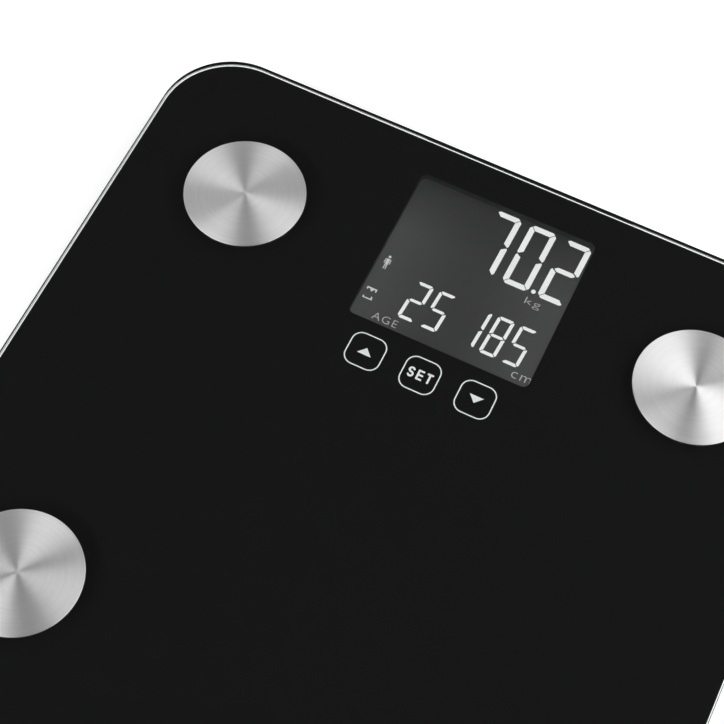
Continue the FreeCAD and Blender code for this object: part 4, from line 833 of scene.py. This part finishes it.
def slot_materials():
    return {
        "platform_glass": platform_glass(),
        "black_print": black_print(),
        "white_print": finish("white_print", grey(0.82), (0.45, 0.6), spread=0.04, patch=0.003),
        "foam_tape": foam("foam_tape", 0.02, (0.8, 0.95)),
        "adhesive": finish("adhesive", grey(0.03), (0.35, 0.5), grain=0.001, depth=0.00003),
        "nylon": finish("nylon", (0.75, 0.74, 0.68), (0.35, 0.5), spread=0.05, Subsurface_Weight=0.2),
        "tinned_copper": drawn_metal("tinned_copper", (0.68, 0.66, 0.62), (0.2, 0.35), "X"),
        "zinc_steel": finish("zinc_steel", (0.62, 0.63, 0.66), (0.22, 0.42), metal=1.0, patch=0.002),
        "gauge_silicone": finish(
            "gauge_silicone", (0.80, 0.80, 0.78), (0.4, 0.6), grain=0.001, depth=0.00005
        ),
        "lead_insulation": finish("lead_insulation", grey(0.02), (0.35, 0.5)),
        "lead_insulation_red": finish("lead_insulation_red", (0.50, 0.03, 0.02), (0.35, 0.5)),
        "black_abs": moulded("black_abs", (0.017, 0.017, 0.018)),
        "black_foam": foam("black_foam", 0.008, (0.85, 0.98), Specular_IOR_Level=0.05),
        "grey_bezel": finish(
            "grey_bezel", (0.014, 0.014, 0.015), (0.6, 0.75), grain=0.0006, Specular_IOR_Level=0.15
        ),
        "polariser_film": lcd_ground(),
        "lcd_glass": clear_part("lcd_glass", (0.75, 0.78, 0.78), (0.02, 0.06)),
        "light_guide": clear_part("light_guide", (0.88, 0.90, 0.90), (0.08, 0.15)),
        "led_package": finish("led_package", (0.85, 0.80, 0.45), (0.25, 0.4)),
        "zebra_silicone": finish("zebra_silicone", (0.45, 0.48, 0.50), (0.5, 0.7), patch=0.0008),
        "circuit_board": circuit_board(),
        "component_resin": finish("component_resin", grey(0.015), (0.3, 0.5)),
        "spring_steel": drawn_metal("spring_steel", grey(0.70), (0.15, 0.3), "Z"),
        "cell_jacket": cell_jacket(),
        "nickel_plate": finish("nickel_plate", (0.72, 0.69, 0.64), (0.15, 0.3), metal=1.0),
        "door_abs": moulded("door_abs", (0.021, 0.021, 0.022)),
        "button_rubber": finish("button_rubber", (0.20, 0.20, 0.205), (0.55, 0.75), grain=0.0003),
        "switch_plastic": finish("switch_plastic", grey(0.05), (0.35, 0.5)),
        "spun_steel": spun_steel(),
        "load_cell_steel": drawn_metal("load_cell_steel", grey(0.60), (0.25, 0.4), "Y"),
        "foot_abs": moulded("foot_abs", (0.024, 0.024, 0.025)),
        "foot_rubber": finish("foot_rubber", grey(0.030), (0.75, 0.92), grain=0.0005, depth=0.00004),
    }


def coat(piece, material):
    piece.data.materials.clear()
    piece.data.materials.append(material)


def coat_nodes(materials):
    for part in frame["record"]["subparts"]:
        coat(frame["nodes"][part["node"]], materials[part["material_slot"]])


def soften(piece, width):
    """Small round on every sharp edge of a CAD node, without moving its faces."""
    piece.modifiers.new("joined", "WELD").merge_threshold = 1e-6
    round_edges = piece.modifiers.new("rounds", "BEVEL")
    round_edges.width = width * MM
    round_edges.segments = 2
    round_edges.limit_method = "ANGLE"
    round_edges.angle_limit = math.radians(35)
    round_edges.harden_normals = True
    weighted(piece)


def soften_nodes():
    for name, piece in frame["nodes"].items():
        for start, width in EDGE_ROUNDS.items():
            if name.startswith(start):
                soften(piece, width)


# --- studio -------------------------------------------------------------------------------


def camera():
    """The view of the photograph: from the front right and high up, with a slight roll."""
    angles = (CAMERA_AZIMUTH, CAMERA_ELEVATION, CAMERA_ROLL)
    azimuth, elevation, roll = (math.radians(angle) for angle in angles)
    aim = mm(*CAMERA_AIM)
    back = Vector(
        (
            math.sin(azimuth) * math.cos(elevation),
            -math.cos(azimuth) * math.cos(elevation),
            math.sin(elevation),
        )
    )
    level = Vector((math.cos(azimuth), math.sin(azimuth), 0.0))
    raised = back.cross(level)
    right = math.cos(roll) * level + math.sin(roll) * raised
    up = math.cos(roll) * raised - math.sin(roll) * level
    data = bpy.data.cameras.new("camera")
    data.sensor_width = CAMERA_SENSOR
    data.lens = CAMERA_LENS
    data.clip_start = CAMERA_CLIP_START_METRES
    eye = bpy.data.objects.new("camera", data)
    bpy.context.scene.collection.objects.link(eye)
    turn = Matrix((right, up, back)).transposed().to_4x4()
    eye.matrix_world = Matrix.Translation(aim + CAMERA_DISTANCE * MM * back) @ turn
    bpy.context.scene.camera = eye


def softbox(name, azimuth, elevation, distance, size, power):
    """Rectangular lamp aimed at the platform. Azimuth is from +X towards +Y."""
    turn, lift = math.radians(azimuth), math.radians(elevation)
    out = Vector((math.cos(turn) * math.cos(lift), math.sin(turn) * math.cos(lift), math.sin(lift)))
    data = bpy.data.lights.new(name, "AREA")
    data.shape = "RECTANGLE"
    data.size, data.size_y = size
    data.energy = power
    lamp = bpy.data.objects.new(name, data)
    bpy.context.scene.collection.objects.link(lamp)
    lamp.visible_camera = False
    lamp.location = out * distance
    lamp.rotation_mode = "QUATERNION"
    lamp.rotation_quaternion = out.to_track_quat("Z", "Y")


def studio_world():
    """Bright low walls and a dark ceiling, so that the glass stays black from above."""
    world = bpy.data.worlds.new("studio")
    world.use_nodes = True
    tree = world.node_tree
    height = add(tree, "SeparateXYZ")
    tree.links.new(add(tree, "TexCoord").outputs["Generated"], height.inputs["Vector"])
    lights = (grey(WALL_LIGHT), grey(CEILING_LIGHT))
    walls = colour_between(tree, height.outputs["Z"], *lights, source=WALL_TO_CEILING)
    tree.links.new(walls, tree.nodes["Background"].inputs["Color"])
    bpy.context.scene.world = world


def floor():
    """Round sheet of white paper with a glow of its own, so that it stays white in shade."""
    piece = prisms("floor", [circle(FLOOR_RADIUS, FLOOR_STEPS)], -FLOOR_DEPTH, 0.0)
    paper = finish("floor_paper", grey(0.86), (0.7, 0.85), spread=0.01, patch=0.4, grain=0.002)
    glow = paper.node_tree.nodes["Principled BSDF"].inputs
    glow["Emission Color"].default_value = (*grey(1.0), 1.0)
    glow["Emission Strength"].default_value = FLOOR_GLOW
    coat(piece, paper)


def studio():
    studio_world()
    for lamp in SOFTBOXES:
        softbox(*lamp)
    bpy.context.scene.view_settings.view_transform = "Standard"
    floor()


def main():
    camera()
    materials = slot_materials()
    coat_nodes(materials)
    soften_nodes()
    coat(glass_plate(), materials["platform_glass"])
    for corner in CORNERS:
        coat(electrode(corner), materials["spun_steel"])
    lcd_artwork()
    studio()


main()
